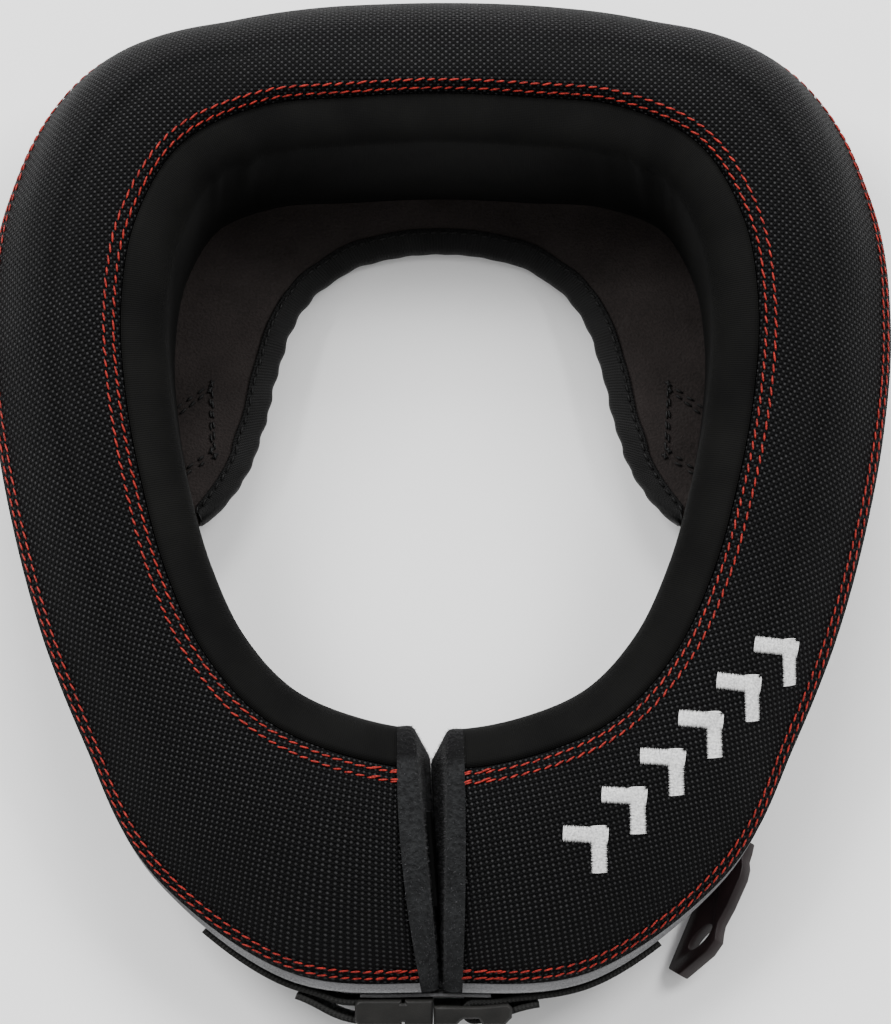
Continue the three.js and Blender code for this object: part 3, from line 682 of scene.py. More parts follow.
def row_mesh(name, rows):
    """Mesh of open chains of edges from rows of points and normals, in metres."""
    points, edges, facings = [], [], []
    for row in rows:
        first = len(points)
        for point, facing in row:
            points.append(point)
            facings.append(facing)
        edges += [(index, index + 1) for index in range(first, len(points) - 1)]
    mesh = bpy.data.meshes.new(name)
    mesh.from_pydata(points, edges, [])
    layer = mesh.attributes.new("facing", "FLOAT_VECTOR", "POINT")
    layer.data.foreach_set("vector", [number for facing in facings for number in facing])
    return mesh


def laid_on(surface, points, lift):
    """The points moved to the nearest place on a surface and lifted off it, with its normals."""
    row = []
    for point in points:
        spot, normal, _, _ = surface.find_nearest(in_frame(point))
        row.append((spot + normal * lift / 1000, normal))
    return row


def twisted_thread(name, dark, light):
    """Polyester sewing thread, lighter in random spots as a painted highlight where its plies stand up."""
    finish, tree, shader = new_finish(name, 0.5, 0.0, 0.3, 0.2)
    colour_by(tree, shader, speckle(tree, 1500, 2), dark, light)
    raise_by(tree, shader, speckle(tree, 2600, 1), 0.0001, 0.6)
    return finish


red_rows = []
row_turns = [
    mix(RIGHT_END + 0.002, LEFT_END - 0.002, step / ROW_STEPS) for step in range(ROW_STEPS + 1)
]
for distance in ROWS_FROM_SEAM + ROWS_FROM_EDGE:
    points = []
    for turn in row_turns:
        out, z = along_line(cover_line(turn), distance)
        points.append(place(turn, out, z))
    red_rows.append(laid_on(cover_surface, points, ROW_LIFT))
    for tack in (points[:TACK_STEPS], points[-TACK_STEPS:]):
        middle = points[ROW_STEPS // 2]
        aside = [point + (middle - point).normalized() * TACK_ASIDE for point in tack]
        red_rows.append(laid_on(cover_surface, aside, TACK_LIFT))

red_thread = twisted_thread("red_thread", (0.07, 0.003, 0.0025), (0.38, 0.022, 0.014))
red_stitches = grown(
    "red_topstitching", row_mesh("red_rows", red_rows), stitch_rows,
    Pitch=STITCH_PITCH, Length=STITCH_LENGTH, Width=THREAD, Height=THREAD * 0.8,
    Slant=math.radians(12), Unevenness=0.14, Seed=3, Thread=red_thread,
)
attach(red_stitches, "root")

# Motif: a strip of six plain chevrons on the right of the front, embroidered through the cover in
# white thread. Each arm is one row of long satin stitches side by side.
CHEVRONS = 6
CHEVRON_PITCH = 17.0
CHEVRON_HALF = Vector((-7.5, 8.0))
ARM_WIDTH = 5.6
STRIP_START = Vector((49.5, -127.5))
STRIP_COURSE = Vector((0.71, 0.704))
SATIN_PITCH = 0.42
SATIN_THREAD = 0.6
SATIN_HEIGHT = 0.5
SATIN_LIFT = 0.1
ARM_STEPS = 8
ARM_START = -2


def dropped_on(surface, points, lift):
    """The points let down onto a surface from above and lifted off it, with its normals."""
    row = []
    for point in points:
        above = in_frame(Vector((point.x, point.y, 150)))
        spot, normal, _, _ = surface.ray_cast(above, Vector((0, 0, -1)))
        row.append((spot + normal * lift / 1000, normal))
    return row


satin_rows = []
strip_across = Vector((STRIP_COURSE.y, -STRIP_COURSE.x))
for count in range(CHEVRONS):
    tip = STRIP_START + STRIP_COURSE * CHEVRON_PITCH * count
    for side in (1, -1):
        points = []
        for step in range(ARM_START, ARM_STEPS + 1):
            back, aside = CHEVRON_HALF * step / ARM_STEPS
            points.append(tip + STRIP_COURSE * back + strip_across * aside * side)
        satin_rows.append(dropped_on(cover_surface, points, SATIN_LIFT))

white_thread = twisted_thread("white_thread", (0.42, 0.42, 0.42), (0.85, 0.85, 0.84))
satin_chevrons = grown(
    "satin_chevrons", row_mesh("satin_rows", satin_rows), stitch_rows,
    Pitch=SATIN_PITCH, Length=ARM_WIDTH, Width=SATIN_THREAD, Height=SATIN_HEIGHT,
    Slant=math.radians(90), Unevenness=0.05, Seed=11, Thread=white_thread,
)
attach(satin_chevrons, "root")

# Inner lining: smooth stretch knit glued over the foam's lip and down the wall of the neck
# hole, drawn in under the yoke and the underside, with soft folds at the two back corners.
LINING_STEPS = 14
FOLD = 1.3
FOLD_AT = 0.79
FOLD_SPREAD = 0.055
FOLD_WAVE = 0.05
RIB = 0.7
LOOP_ROW = 0.5
YOKE_TIP = 0.398


def stretch_knit():
    """Smooth black knit with fine ribs."""
    finish, tree, shader = new_finish("stretch_knit", 0.75, 0.01, 0.4, 0.05)
    cloth = cloth_map(tree)
    loops = times(tree, ridges(tree, cloth.outputs[1], LOOP_ROW), 0.3)
    knit = scaled(tree, ridges(tree, cloth.outputs[0], RIB), 0.5, loops)
    shade = scaled(tree, speckle(tree, 40, 4), 0.6, times(tree, knit, 0.2))
    colour_by(tree, shader, shade, (0.0022, 0.0022, 0.0022), (0.0065, 0.0065, 0.006))
    raise_by(tree, shader, knit, 0.00012, 0.5)
    return finish


def folded(turn, line):
    """The lining's outer line, swelling into the neck hole where it is folded."""
    share, side = share_and_side(turn)
    where = math.exp(-(((share - FOLD_AT) / FOLD_SPREAD) ** 2))
    result = []
    for index, (out, z) in enumerate(line):
        down = index / (len(line) - 1)
        wave = math.sin(2 * math.pi * share / FOLD_WAVE + 4 * down + side)
        result.append((out - FOLD * where * max(0.0, wave) * math.sin(math.pi * down) ** 2, z))
    return result


def lining_bottom(turn):
    """Height where the lining ends: on the lower panel, or on the yoke from its tips backwards."""
    on_yoke = smooth_step(share_and_side(turn)[0], YOKE_TIP - 0.02, YOKE_TIP - 0.006)
    return sizes_at(turn)["under"] + PANEL + GAP + (YOKE + GAP) * on_yoke


seam_travel = [0.0]
for before, turn in zip(turns, turns[1:]):
    seam_travel.append(seam_travel[-1] + (seam_point(turn) - seam_point(before)).length)

rings, maps = [], []
for turn, travel in zip(turns, seam_travel):
    outer = lining_arc(turn, 0)
    bottom = lining_bottom(turn)
    lip_foot = outer[-1][1]
    wall = [(-LIP, mix(lip_foot, bottom, step / LINING_STEPS)) for step in range(1, LINING_STEPS + 1)]
    inner = [(-LIP + LINING, mix(bottom, lip_foot, step / 4)) for step in range(5)]
    section = folded(turn, outer + wall) + inner + lining_arc(turn, LINING)[-2::-1]
    rings.append([place(turn, out, z) for out, z in section])
    maps.append([(travel, distance) for distance in distances_round(section)])
neck_lining = lofted("neck_lining", rings, maps)
dress(neck_lining, stretch_knit(), "inner_lining")

# Lower wall and underside: one panel of soft grey brushed fabric on thin foam, sewn to the cover
# along the outer seam and to the foot of the lining, which closes the collar from below.


def mottled(tree, patches, grain):
    """Large patches and fine grain added up, each a noise output with its weight."""
    return scaled(tree, *patches, times(tree, *grain))


def brushed_grey():
    """Grey fabric with a short uneven nap."""
    finish, tree, shader = new_finish("brushed_grey", 0.85, 0.1, 0.5, 0.2)
    shade = mottled(tree, (speckle(tree, 35, 5), 0.6), (speckle(tree, 1400, 3), 0.4))
    colour_by(tree, shader, shade, (0.11, 0.11, 0.113), (0.22, 0.22, 0.226))
    raise_by(tree, shader, speckle(tree, 1800, 3), 0.0003, 0.7)
    return finish


def smooth_wall(turn, lowest):
    """Outer face of the lower wall on a smooth curve, nowhere below the lowest height."""
    outs, heights = zip(*wall_points(turn))
    positions = [step / 3 for step in range(3 * len(outs) - 2)]
    return [(through(outs, position), max(lowest, through(heights, position))) for position in positions]


rings, maps = [], []
for turn, travel in zip(turns, seam_travel):
    under = sizes_at(turn)["under"]
    edge, _, shoulder, foot, heel, sole = wall_points(turn)
    inside = [
        (sole[0] - 0.3 * PANEL, sole[1] + PANEL),
        (heel[0] - 0.7 * PANEL, heel[1] + 0.7 * PANEL),
        (foot[0] - PANEL, foot[1] + 0.3 * PANEL),
        (shoulder[0] - PANEL, shoulder[1]),
        (edge[0] - PANEL, edge[1]),
    ]
    rim = [
        (-LIP + PANEL / 2, under),
        (-LIP, under + PANEL / 2),
        (-LIP, under + PANEL),
        (-LIP + YOKE_TUCK, under + PANEL),
    ]
    section = smooth_wall(turn, under) + rim + inside
    rings.append([place(turn, out, z) for out, z in section])
    maps.append([(travel, distance) for distance in distances_round(section)])
lower_panel = lofted("lower_panel", rings, maps)
grey_finish = brushed_grey()
dress(lower_panel, grey_finish, "base_panel")

# Neck yoke: a flat U of brushed fabric over thin foam, round the back of the neck hole. It is sewn
# in between the panel and the lining at the foot of the wall.
YOKE_ROUNDING = 0.062
YOKE_REACH = 38.6
YOKE_FOCUS = Vector((0, 24))
YOKE_REACHES = (
    0.57, 0.614, 0.744, 0.834, 0.915, 0.972, 1.0, 0.995, 0.896, 0.754, 0.585, 0.495, 0.472,
)
YOKE_ROWS = tuple((reach,) for reach in YOKE_REACHES)
YOKE_CROWN = 0.35
CROWN_SPAN = 20
YOKE_TIP_STEPS = 24
YOKE_STEPS = 90
YOKE_COLUMNS = 9
LEAST_SQUARE = 0.35
TAPE = 1.0


def brushed_brown():
    """Warm black fabric with a short nap."""
    finish, tree, shader = new_finish("brushed_brown", 0.9, 0.02, 0.5, 0.1)
    nap = speckle(tree, 1300, 4)
    shade = mottled(tree, (speckle(tree, 60, 4), 0.45), (nap, 0.5))
    colour_by(tree, shader, shade, (0.0095, 0.0078, 0.0073), (0.028, 0.023, 0.022))
    raise_by(tree, shader, nap, 0.0003, 0.6)
    return finish


@functools.lru_cache(maxsize=None)
def yoke_edge(turn):
    """Wall point, direction to the free edge, and reach of the yoke at a turn."""
    beyond = max(0.0, share_and_side(turn)[0] - YOKE_TIP)
    wall = place(turn, -LIP, 0).to_2d()
    course = (YOKE_FOCUS - wall).normalized()
    rounded = math.sqrt(max(0.0, 1 - (1 - min(1, beyond / YOKE_ROUNDING)) ** 2))
    return wall, course, rounded * YOKE_REACH * curve_value(YOKE_ROWS, 0, beyond / (1 - YOKE_TIP))


@functools.lru_cache(maxsize=None)
def yoke_squareness(turn):
    """How square the free edge stands to the yoke's direction: 1 where it is square."""
    course = yoke_edge(turn)[1]
    ends = []
    for step in (-0.0004, 0.0004):
        near_wall, near_course, near_reach = yoke_edge(turn + step)
        ends.append(near_wall + near_course * near_reach)
    run = (ends[1] - ends[0]).normalized()
    return max(LEAST_SQUARE, course.x * -run.y + course.y * run.x)


def yoke_inside(turn, depth):
    """Point on the yoke's plan a depth inside its free edge."""
    wall, course, reach = yoke_edge(turn)
    return wall + course * (reach - min(depth / yoke_squareness(turn), reach - 1))


yoke_turns = []
for step in range(YOKE_TIP_STEPS):
    yoke_turns.append(YOKE_TIP + YOKE_ROUNDING * (0.02 + 0.98 * (step / YOKE_TIP_STEPS) ** 2))
for step in range(YOKE_STEPS + 1):
    yoke_turns.append(mix(YOKE_TIP + YOKE_ROUNDING, 1, step / YOKE_STEPS))
yoke_turns += [2 - turn for turn in reversed(yoke_turns[:-1])]

rings, maps = [], []
for turn in yoke_turns:
    bottom = sizes_at(turn)["under"] + PANEL + GAP
    tucked = place(turn, -LIP + YOKE_TUCK - GAP, 0).to_2d()
    wall = yoke_edge(turn)[0]
    free = yoke_inside(turn, TAPE + GAP)
    line = [tucked, *(wall.lerp(free, step / YOKE_COLUMNS) for step in range(YOKE_COLUMNS + 1))]
    span = (free - wall).length
    lower, upper = [], []
    for spot in line:
        lower.append(Vector((spot.x, spot.y, bottom)))
        across = min(1.0, max(0.0, (spot - tucked).length - YOKE_TUCK + GAP) / max(1.0, span))
        crown = YOKE_CROWN * math.sin(math.pi * across) * min(1.0, span / CROWN_SPAN)
        upper.append(Vector((spot.x, spot.y, bottom + YOKE + crown)))
    rings.append(lower + upper[::-1])
    maps.append([(point.x, point.y) for point in rings[-1]] + [(rings[-1][0].x, rings[-1][0].y)])
yoke_pad = lofted("yoke_pad", rings, maps)
dress(yoke_pad, brushed_brown(), "neck_yoke")

# Binding: black ribbed tape folded round the yoke's free edge and sewn down with black thread,
# which draws its edge into small puckers. Its fold is given by depth and rise, up to its middle.
TAPE_WIDTH = 8.0
TAPE_RIB = 0.9
TAPE_FOLD = ((3.0, 0.0), (1.0, 0.15), (0.25, 0.9), (0.0, 2.0))
PUCKER = 0.3
PUCKER_LENGTH = 8.5
SEWN_DEPTH = 6.4


def ribbed_tape(name, rib, dark, light):
    """Black tape or webbing with ribs across it."""
    finish, tree, shader = new_finish(name, 0.6, 0.0, 0.4, 0.12)
    cloth = cloth_map(tree)
    ribs = ridges(tree, cloth.outputs[0], rib)
    threads = times(tree, ribs, ridges(tree, cloth.outputs[1], 0.6 * rib))
    woven = scaled(tree, ribs, 0.5, times(tree, threads, 0.35))
    patches = scaled(tree, speckle(tree, 70, 4), 0.4, 0.3)
    shade = sums(tree, "MULTIPLY_ADD", woven, 0.35, patches, clamp=True)
    colour_by(tree, shader, shade, dark, light)
    raise_by(tree, shader, woven, 0.00025, 0.8)
    return finish


def puckered(travel, amount):
    """Uneven wave along the tape."""
    wave = math.sin(2 * math.pi * travel / PUCKER_LENGTH + 1.3 * math.sin(travel / 19))
    return amount * wave * (0.65 + 0.35 * math.sin(travel / 31 + 1))


rings, maps = [], []
sewing_line = []
travel = 0.0
before = yoke_inside(yoke_turns[0], 0)
for turn in yoke_turns:
    edge = yoke_inside(turn, 0)
    travel += (edge - before).length
    before = edge
    reach = yoke_edge(turn)[2]
    fade = smooth_step(reach, 2, 14)
    low = sizes_at(turn)["under"] + PANEL - TAPE
    high = low + YOKE + 2 * (GAP + TAPE)
    out = puckered(travel, PUCKER) * fade
    fold = [(depth - out if depth < 3 else depth, rise) for depth, rise in TAPE_FOLD]
    section = [
        (TAPE_WIDTH, low),
        *[(depth, low + rise) for depth, rise in fold],
        *[(depth, high - rise) for depth, rise in fold[::-1]],
        (5.5, high - 0.05), (TAPE_WIDTH - 0.6, high), (TAPE_WIDTH, high - 0.35),
        (TAPE_WIDTH, high - TAPE), (TAPE + GAP, high - TAPE),
        (TAPE + GAP, low + TAPE), (TAPE_WIDTH, low + TAPE),
    ]
    ring = []
    for depth, z in section:
        spot = yoke_inside(turn, depth) if depth >= 0 else edge - yoke_edge(turn)[1] * depth
        lift = 0.3 * puckered(travel + 3, PUCKER) * fade if z > low + 3 and depth < 6 else 0.0
        ring.append(Vector((spot.x, spot.y, z + lift)))
    rings.append(ring)
    maps.append([(travel, distance) for distance in distances_round(section)])
    if reach > TAPE_WIDTH + 1:
        spot = yoke_inside(turn, SEWN_DEPTH)
        sewing_line.append(Vector((spot.x, spot.y, high)))
edge_binding = lofted("edge_binding", rings, maps)
binding_finish = ribbed_tape("binding_tape", TAPE_RIB, (0.004, 0.004, 0.004), (0.014, 0.014, 0.014))
dress(edge_binding, binding_finish, "yoke_binding")

# Yoke stitching: black thread, in one row along the binding and in open double boxes near the tips
# of the yoke's two legs. Stitches of one length are laid end to end on the cloth.
BLACK_PITCH = 3.4
BLACK_LENGTH = 2.9
BLACK_THREAD = 0.9
BLACK_HEIGHT = 0.8
LEG_BOX = ((-85, 19.5), (-74.4, 27), (-73.1, 2.7), (-81.6, -2.7))
BOX_INSETS = (0, 2.2)
SIDE_STEPS = 12

binding_surface = BVHTree.FromObject(edge_binding, bpy.context.evaluated_depsgraph_get())
yoke_surface = BVHTree.FromObject(yoke_pad, bpy.context.evaluated_depsgraph_get())
black_rows = [laid_on(binding_surface, sewing_line, GAP)]
for side in (1, -1):
    for inset in BOX_INSETS:
        corners = [Vector((side * x, y)) for x, y in LEG_BOX]
        middle = sum(corners, Vector((0, 0))) / 4
        corners = [corner + (middle - corner).normalized() * inset for corner in corners]
        for start, end in zip(corners, corners[1:]):
            spots = [start.lerp(end, step / SIDE_STEPS) for step in range(SIDE_STEPS + 1)]
            points = [Vector((spot.x, spot.y, ARCH + PANEL + YOKE)) for spot in spots]
            black_rows.append(laid_on(yoke_surface, points, GAP))
black_thread = twisted_thread("black_thread", (0.0015, 0.0015, 0.0015), (0.006, 0.006, 0.006))
black_stitches = grown(
    "yoke_stitching", row_mesh("black_rows", black_rows), stitch_rows,
    Pitch=BLACK_PITCH, Length=BLACK_LENGTH, Width=BLACK_THREAD, Height=BLACK_HEIGHT,
    Slant=math.radians(6), Unevenness=0.12, Seed=5, Thread=black_thread,
)
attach(black_stitches, "root")

# Straps: black 20 mm webbing with ribs across it, sewn flat to the lower wall at its far end. It is
# turned round a bar of the buckle, which stands off the wall in front of the slot, and folded back.
STRAP = 2.0
STRAP_WIDTH = 20.0
STRAP_FOLD = 20
STRAP_LEAVE = 18
STRAP_END_LEFT = -74
STRAP_END_RIGHT = 69
STRAP_RIB = 1.3
BUCKLE_LEFT = -26.7
BUCKLE_JOINT = -2.05
BUCKLE_RIGHT = 22.7
BUCKLE_HEIGHT = 26
BUCKLE_DEPTH = 8
BUCKLE_FOOT = 3
LEFT_BAR = BUCKLE_LEFT + 2.3
RIGHT_BAR = BUCKLE_JOINT + 12.8
BAR_RADIUS = 1.6
GUARD = 1.2
BUCKLE_MIDDLE = BUCKLE_FOOT + BUCKLE_HEIGHT / 2 * math.cos(FRONT_LEAN)
BUCKLE_CENTRE = (BUCKLE_LEFT + BUCKLE_RIGHT) / 2
BAR_SEAT = 2 * GAP + GUARD + BUCKLE_DEPTH / 2
TURN_RADIUS = BAR_RADIUS + GAP + STRAP / 2


def wall_out(turn):
    return sizes_at(turn)["width"] + sizes_at(turn)["bulge"]


@functools.lru_cache(maxsize=None)
def wall_turn(x):
    return turn_where(x, wall_out)


def off_wall(x, distance, height):
    """Point a distance square off the lower wall at x, at a height above the underside."""
    turn = wall_turn(x)
    sizes = sizes_at(turn)
    slope = math.atan(sizes["lean"])
    drop = WALL_HEIGHT - GAP - BULGE_DROP - height
    outset = wall_out(turn) - drop * sizes["lean"] + distance * math.cos(slope)
    point, out = seam_frame(turn)
    z = sizes["under"] + height - distance * math.sin(slope)
    return Vector((point.x + outset * out.x, point.y + outset * out.y, z))


BUCKLE_ADVANCE = max(
    off_wall(BUCKLE_CENTRE, 0, 0).y - off_wall(mix(BUCKLE_LEFT, BUCKLE_RIGHT, share), 0, 0).y
    for share in (0, 0.25, 0.5, 0.75, 1)
)


def off_buckle(x, distance, height):
    """The same point, but flat like the buckle where x is on it or near its ends."""
    beyond = abs(x - BUCKLE_CENTRE) - (BUCKLE_RIGHT - BUCKLE_LEFT) / 2
    flat = off_wall(BUCKLE_CENTRE, distance, height)
    flat.x = x
    flat.y -= BUCKLE_ADVANCE
    return flat.lerp(off_wall(x, distance, height), smooth_step(beyond, 2, 10))


def strap_route(sewn, bar):
    """Pairs of x and distance off the wall, from the sewn end round the bar and back."""
    way = 1 if bar > sewn else -1
    flat = GAP + STRAP / 2
    leave = bar - way * STRAP_LEAVE
    route = [(mix(sewn, leave, step / 30), flat) for step in range(31)]
    for step in range(1, 12):
        share = step / 12
        rise = smooth_step(share, 0, 0.8)
        route.append((mix(leave, bar, share), mix(flat, BAR_SEAT - TURN_RADIUS, rise)))
    for step in range(17):
        angle = step / 16 * math.pi
        route.append((bar + way * TURN_RADIUS * math.sin(angle), BAR_SEAT - TURN_RADIUS * math.cos(angle)))
    for step in range(1, 11):
        share = step / 10
        near = flat + STRAP + 2 * GAP
        distance = mix(BAR_SEAT + TURN_RADIUS, near, smooth_step(share, 0, 1))
        route.append((bar - way * share * STRAP_FOLD, distance))
    return route


def band(name, route, thickness, low, high, seat):
    """Flat band on its edge with rounded edges, along a route, mapped along and across."""
    rings, maps = [], []
    middles = [seat(x, distance, (low + high) / 2) for x, distance in route]
    travel = 0.0
    half = thickness / 2
    face = [(-half, up) for up in (0.97, 0.65, 0.35, 0.03)]
    near_side = [(-0.75 * half, 1.0), *face, (-0.75 * half, 0.0)]
    section = near_side + [(-across, 1 - up) for across, up in near_side]
    for index, (x, distance) in enumerate(route):
        if index:
            travel += (middles[index] - middles[index - 1]).length
        run = middles[min(index + 1, len(route) - 1)] - middles[max(index - 1, 0)]
        side = Vector((run.y, -run.x, 0)).normalized()
        foot, head = seat(x, distance, low), seat(x, distance, high)
        rings.append([foot.lerp(head, up) + side * across for across, up in section])
        maps.append([(travel, up * (high - low) + across) for across, up in section + section[:1]])
    return lofted(name, rings, maps)


webbing_finish = ribbed_tape("webbing", STRAP_RIB, (0.0035, 0.0035, 0.0035), (0.02, 0.02, 0.019))
strap_low = BUCKLE_MIDDLE - STRAP_WIDTH / 2 * math.cos(FRONT_LEAN)
strap_high = BUCKLE_MIDDLE + STRAP_WIDTH / 2 * math.cos(FRONT_LEAN)
for node, name, sewn, bar in (
    ("strap_left", "webbing_left", STRAP_END_LEFT, LEFT_BAR),
    ("strap_right", "webbing_right", STRAP_END_RIGHT, RIGHT_BAR),
):
    webbing = band(name, strap_route(sewn, bar), STRAP, strap_low, strap_high, off_buckle)
    dress(webbing, webbing_finish, node)

# Guard: a flat tongue of the panel's grey brushed fabric. It lies on the lower wall behind the
# buckle, across the foot of the slot.
GUARD_LEFT = -25
GUARD_RIGHT = 16
GUARD_HEIGHT = 18
GUARD_STEPS = 24
guard_low = BUCKLE_MIDDLE - GUARD_HEIGHT / 2
guard_route = [
    (mix(GUARD_LEFT, GUARD_RIGHT, step / GUARD_STEPS), GAP + GUARD / 2)
    for step in range(GUARD_STEPS + 1)
]
guard = band("guard_tongue", guard_route, GUARD, guard_low, guard_low + GUARD_HEIGHT, off_wall)
dress(guard, grey_finish, "buckle_guard")

# End facings: dark grey fuzzy fabric on foam, sewn over each end of the horseshoe at the slot. They
# lean towards each other, press together near the underside, and are covered in loose fibres.
FACING = 4.6
FACING_SIDE = 2.5
FACING_PROUD = 0.6
FACING_ROUND = 1.8
LIP_ROUND = 2.6
MEETING_INNER = -3.2
MEETING_OUTER = 0.4
MEETING_GAP = -0.3
FACE_MIDDLE = 24.0
NAP = 0.9
FIBRES = 450000.0
FIBRE_RADIUS = 0.06

# The facing's side: how deep it is in the slot, and how much of its way it has leant.
SIDE_ROWS = ((0.02, 0.0), (1.5, 0.3), (2.6, 0.6))


def fuzzy_grey():
    """Grey pile, black on the lip of the neck hole."""
    finish, tree, shader = new_finish("fuzzy_grey", 0.95, 0.03, 0.5, 0.1)
    nap = speckle(tree, 700, 5)
    shade = mottled(tree, (speckle(tree, 90, 4), 0.4), (nap, 0.55))
    lip = add_node(tree, "ShaderNodeMapRange", {0: cloth_map(tree).outputs[0], 1: -0.0035, 2: -0.0015})
    shade = times(tree, shade, lip.outputs[0])
    colour_by(tree, shader, shade, (0.004, 0.004, 0.0043), (0.022, 0.023, 0.024))
    raise_by(tree, shader, nap, 0.0006, 0.9)
    return finish


def offset_loop(loop, distance):
    """Closed loop of pairs moved outwards."""
    moved = []
    for index, (x, y) in enumerate(loop):
        before, after = loop[index - 1], loop[(index + 1) % len(loop)]
        run = (after[0] - before[0], after[1] - before[1])
        length = math.hypot(*run)
        moved.append((x - distance * run[1] / length, y + distance * run[0] / length))
    return moved


def end_ring(turn, loop, depth, flat, closing):
    """Loop of pairs at an end of the collar, moved into the slot. Flat levels its hollow, and
    closing leans it towards the other end, most at the underside."""
    width, bulge, top = (sizes_at(turn)[key] for key in ("width", "bulge", "top"))
    way = -1 if turn < 1 else 1
    inner = place(turn, -LIP, 0)
    span = place(turn, width + bulge, 0) - inner
    into = Vector((-span.y, span.x, 0)).normalized() * way
    ring = []
    for out, z in loop:
        share = (out + LIP) / (width + bulge + LIP)
        level = inner + span * share
        level.z = z
        meeting = mix(MEETING_INNER, MEETING_OUTER, share) - way * MEETING_GAP / 2
        lean = abs(meeting - level.x - into.x * (GAP + FACING)) * closing * max(0.0, 1 - z / top)
        ring.append(place(turn, out, z).lerp(level, flat) + into * (depth + lean))
    return ring


def fibre_tree():
    """Short fibres that stand on a mesh in every direction."""
    numbers = ("Density", "Length", "Radius", "Tilt")
    tree, given = growing_tree("loose_fibres", "Cloth", numbers, "Fibre")
    roots = add_node(tree, "GeometryNodeDistributePointsOnFaces", {
        "Mesh": given["Cloth"], "Density": given["Density"], "Seed": given["Seed"],
    })
    low = add_node(tree, "ShaderNodeCombineXYZ", {0: times(tree, given["Tilt"], -1.0)}).outputs[0]
    high = add_node(tree, "ShaderNodeCombineXYZ", {0: given["Tilt"], 2: 2 * math.pi}).outputs[0]
    chance = add_node(
        tree, "FunctionNodeRandomValue", {"Min": low, "Max": high, "Seed": given["Seed"]},
        data_type="FLOAT_VECTOR",
    )
    turned = add_node(
        tree,
        "FunctionNodeRotateRotation",
        {"Rotation": roots.outputs["Rotation"], "Rotate By": chance.outputs[0]},
        rotation_space="LOCAL",
    )
    hair = add_node(tree, "GeometryNodeMeshCone", {
        "Vertices": 3, "Radius Bottom": given["Radius"], "Depth": given["Length"],
    })
    return set_out(
        tree, roots.outputs["Points"], hair.outputs["Mesh"], given["Fibre"], Rotation=turned.outputs[0]
    )


# Loose fibres coloured pale as painted glints on the dark pile.
def painted_glint_fibre():
    finish, tree, shader = new_finish("painted_glint_fibre", 0.6, 0.0, 0.5, 0.3)
    colour_by(tree, shader, speckle(tree, 800, 2), (0.01, 0.01, 0.011), (0.09, 0.09, 0.095))
    return finish


loose_fibres = fibre_tree()
fibre_finish = painted_glint_fibre()
facing_finish = fuzzy_grey()
for node, name, turn in (
    ("end_facing_left", "fuzzy_facing_left", LEFT_END),
    ("end_facing_right", "fuzzy_facing_right", RIGHT_END),
):
    lip = lining_arc(turn, 0)[:0:-1]
    wall = smooth_wall(turn, NAP)
    outline = [(-12, NAP), (-LIP, PANEL), (-LIP, 20), *lip, *cover_line(turn, 24)[:-1], *wall]
    cover_foot = sizes_at(turn)["edge"] + FACING_PROUD
    proud = [
        grown_point if flat_point[1] > cover_foot and flat_point[0] > -1 else flat_point
        for grown_point, flat_point in zip(offset_loop(outline, FACING_PROUD), outline)
    ]
    layers = [(depth, leant, leant, proud) for depth, leant in SIDE_ROWS]
    for share in (0.25, 0.5, 0.75, 1.0):
        rounding = math.sin(share * math.pi / 2)
        tuck = 1 - math.cos(share * math.pi / 2)
        tucked = [
            (out + LIP_ROUND * tuck * smooth_step(-out, 5, 14), z)
            for out, z in offset_loop(outline, -FACING_ROUND * tuck)
        ]
        depth = GAP + mix(FACING_SIDE, FACING, rounding)
        layers.append((depth, 1, mix(SIDE_ROWS[-1][1], 1, rounding), tucked))
    for narrowing in (0.8, 0.6, 0.4, 0.2, 0.05):
        narrowed = [(out, mix(FACE_MIDDLE, z, narrowing)) for out, z in tucked]
        layers.append((GAP + FACING, 1, 1, narrowed))
    rings = [end_ring(turn, loop, depth, flat, closing) for depth, flat, closing, loop in layers]
    maps = [[(out, z) for out, z in loop + loop[:1]] for _, _, _, loop in layers]
    facing = lofted(name, rings, maps)
    dress(facing, facing_finish, node)
    nap = grown(
        name + "_nap", facing.data.copy(), loose_fibres,
        Density=FIBRES, Length=NAP, Radius=FIBRE_RADIUS, Tilt=1.1, Seed=7, Fibre=fibre_finish,
    )
    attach(nap, "root")

# Closure patch: a strip of black hook tape with its hooks in rows, sewn to the left facing inside
# the slot. The CAD node's shape is kept, with a better finish.
HOOK_ROW = 1.4


def hook_tape():
    finish, tree, shader = new_finish("hook_tape", 0.8, 0.0, 0.5, 0.1)
    spot = add_node(tree, "ShaderNodeTexCoord")
    upright = add_node(tree, "ShaderNodeSeparateXYZ", {0: spot.outputs["Object"]})
    rows = scaled(tree, ridges(tree, upright.outputs[2], HOOK_ROW), 0.5, 0.5)
    uneven = scaled(tree, speckle(tree, 1600, 3), 0.6, 0.4)
    hooks = times(tree, rows, uneven)
    colour_by(tree, shader, hooks, (0.0015, 0.0015, 0.0015), (0.016, 0.016, 0.016))
    raise_by(tree, shader, hooks, 0.0005, 1.0)
    return finish


hook_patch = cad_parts["hook_patch"]
hook_patch.data.materials.clear()
hook_patch.data.materials.append(hook_tape())

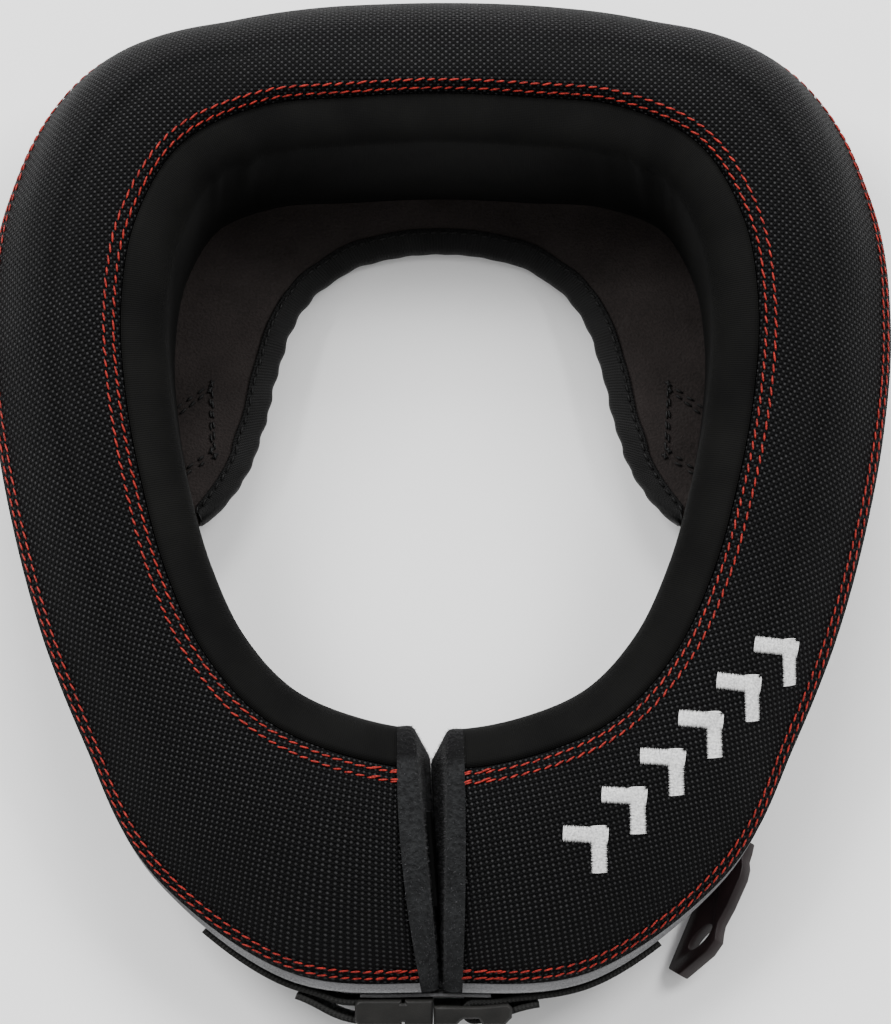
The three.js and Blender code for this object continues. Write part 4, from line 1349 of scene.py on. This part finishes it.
# Buckle: a side-release buckle moulded in satin black plastic, in two parts that are snapped
# together. Each is held by its strap, and its edges are softened by the mould.
BUCKLE_ROUND = 0.3


def moulded(node, name, finish, round_edge):
    """Copy of a moulded part with its sharp edges rounded by some mm."""
    body = bmesh.new()
    body.from_mesh(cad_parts[node].data)
    bmesh.ops.remove_doubles(body, verts=body.verts, dist=1e-6)
    bmesh.ops.dissolve_limit(body, angle_limit=math.radians(1), verts=body.verts, edges=body.edges)
    mesh = bpy.data.meshes.new(name)
    body.to_mesh(mesh)
    body.free()
    cast = add_piece(name + "_cast", mesh)
    softened = cast.modifiers.new("softened", "BEVEL")
    softened.width = round_edge / 1000
    softened.segments = 2
    softened.limit_method = "ANGLE"
    softened.angle_limit = math.radians(30)
    evaluated = cast.evaluated_get(bpy.context.evaluated_depsgraph_get())
    result = bpy.data.meshes.new_from_object(evaluated)
    bpy.data.objects.remove(cast)
    result.materials.clear()
    result.shade_smooth()
    result.set_sharp_from_angle(angle=math.radians(40))
    dress(add_piece(name, result), finish, node)


def satin_plastic(name, dark, light, roughness):
    """Black plastic with a fine grain."""
    finish, tree, shader = new_finish(name, roughness, 0.0, 0.5, 0.22)
    shade = mottled(tree, (speckle(tree, 120, 5), 0.7), (speckle(tree, 2500, 2), 0.3))
    colour_by(tree, shader, shade, dark, light)
    raise_by(tree, shader, speckle(tree, 1900, 2), 0.00006, 0.5)
    return finish


buckle_finish = satin_plastic("buckle_plastic", (0.0045, 0.0044, 0.004), (0.013, 0.0125, 0.0115), 0.45)
moulded("buckle_socket", "release_socket", buckle_finish, BUCKLE_ROUND)
moulded("buckle_plug", "release_plug", buckle_finish, BUCKLE_ROUND)

# Side tab: a flexible blade of black plastic with an oval hole, moulded in one piece. It hangs from
# a short loop of webbing that is sewn to the lower wall.
TAB_ROUND = 0.35
LOOP_ROUND = 0.3
tab_finish = satin_plastic("tab_plastic", (0.006, 0.003, 0.0033), (0.014, 0.0075, 0.008), 0.4)
moulded("side_tab", "pull_tab", tab_finish, TAB_ROUND)
moulded("tab_loop", "tab_webbing", webbing_finish, LOOP_ROUND)
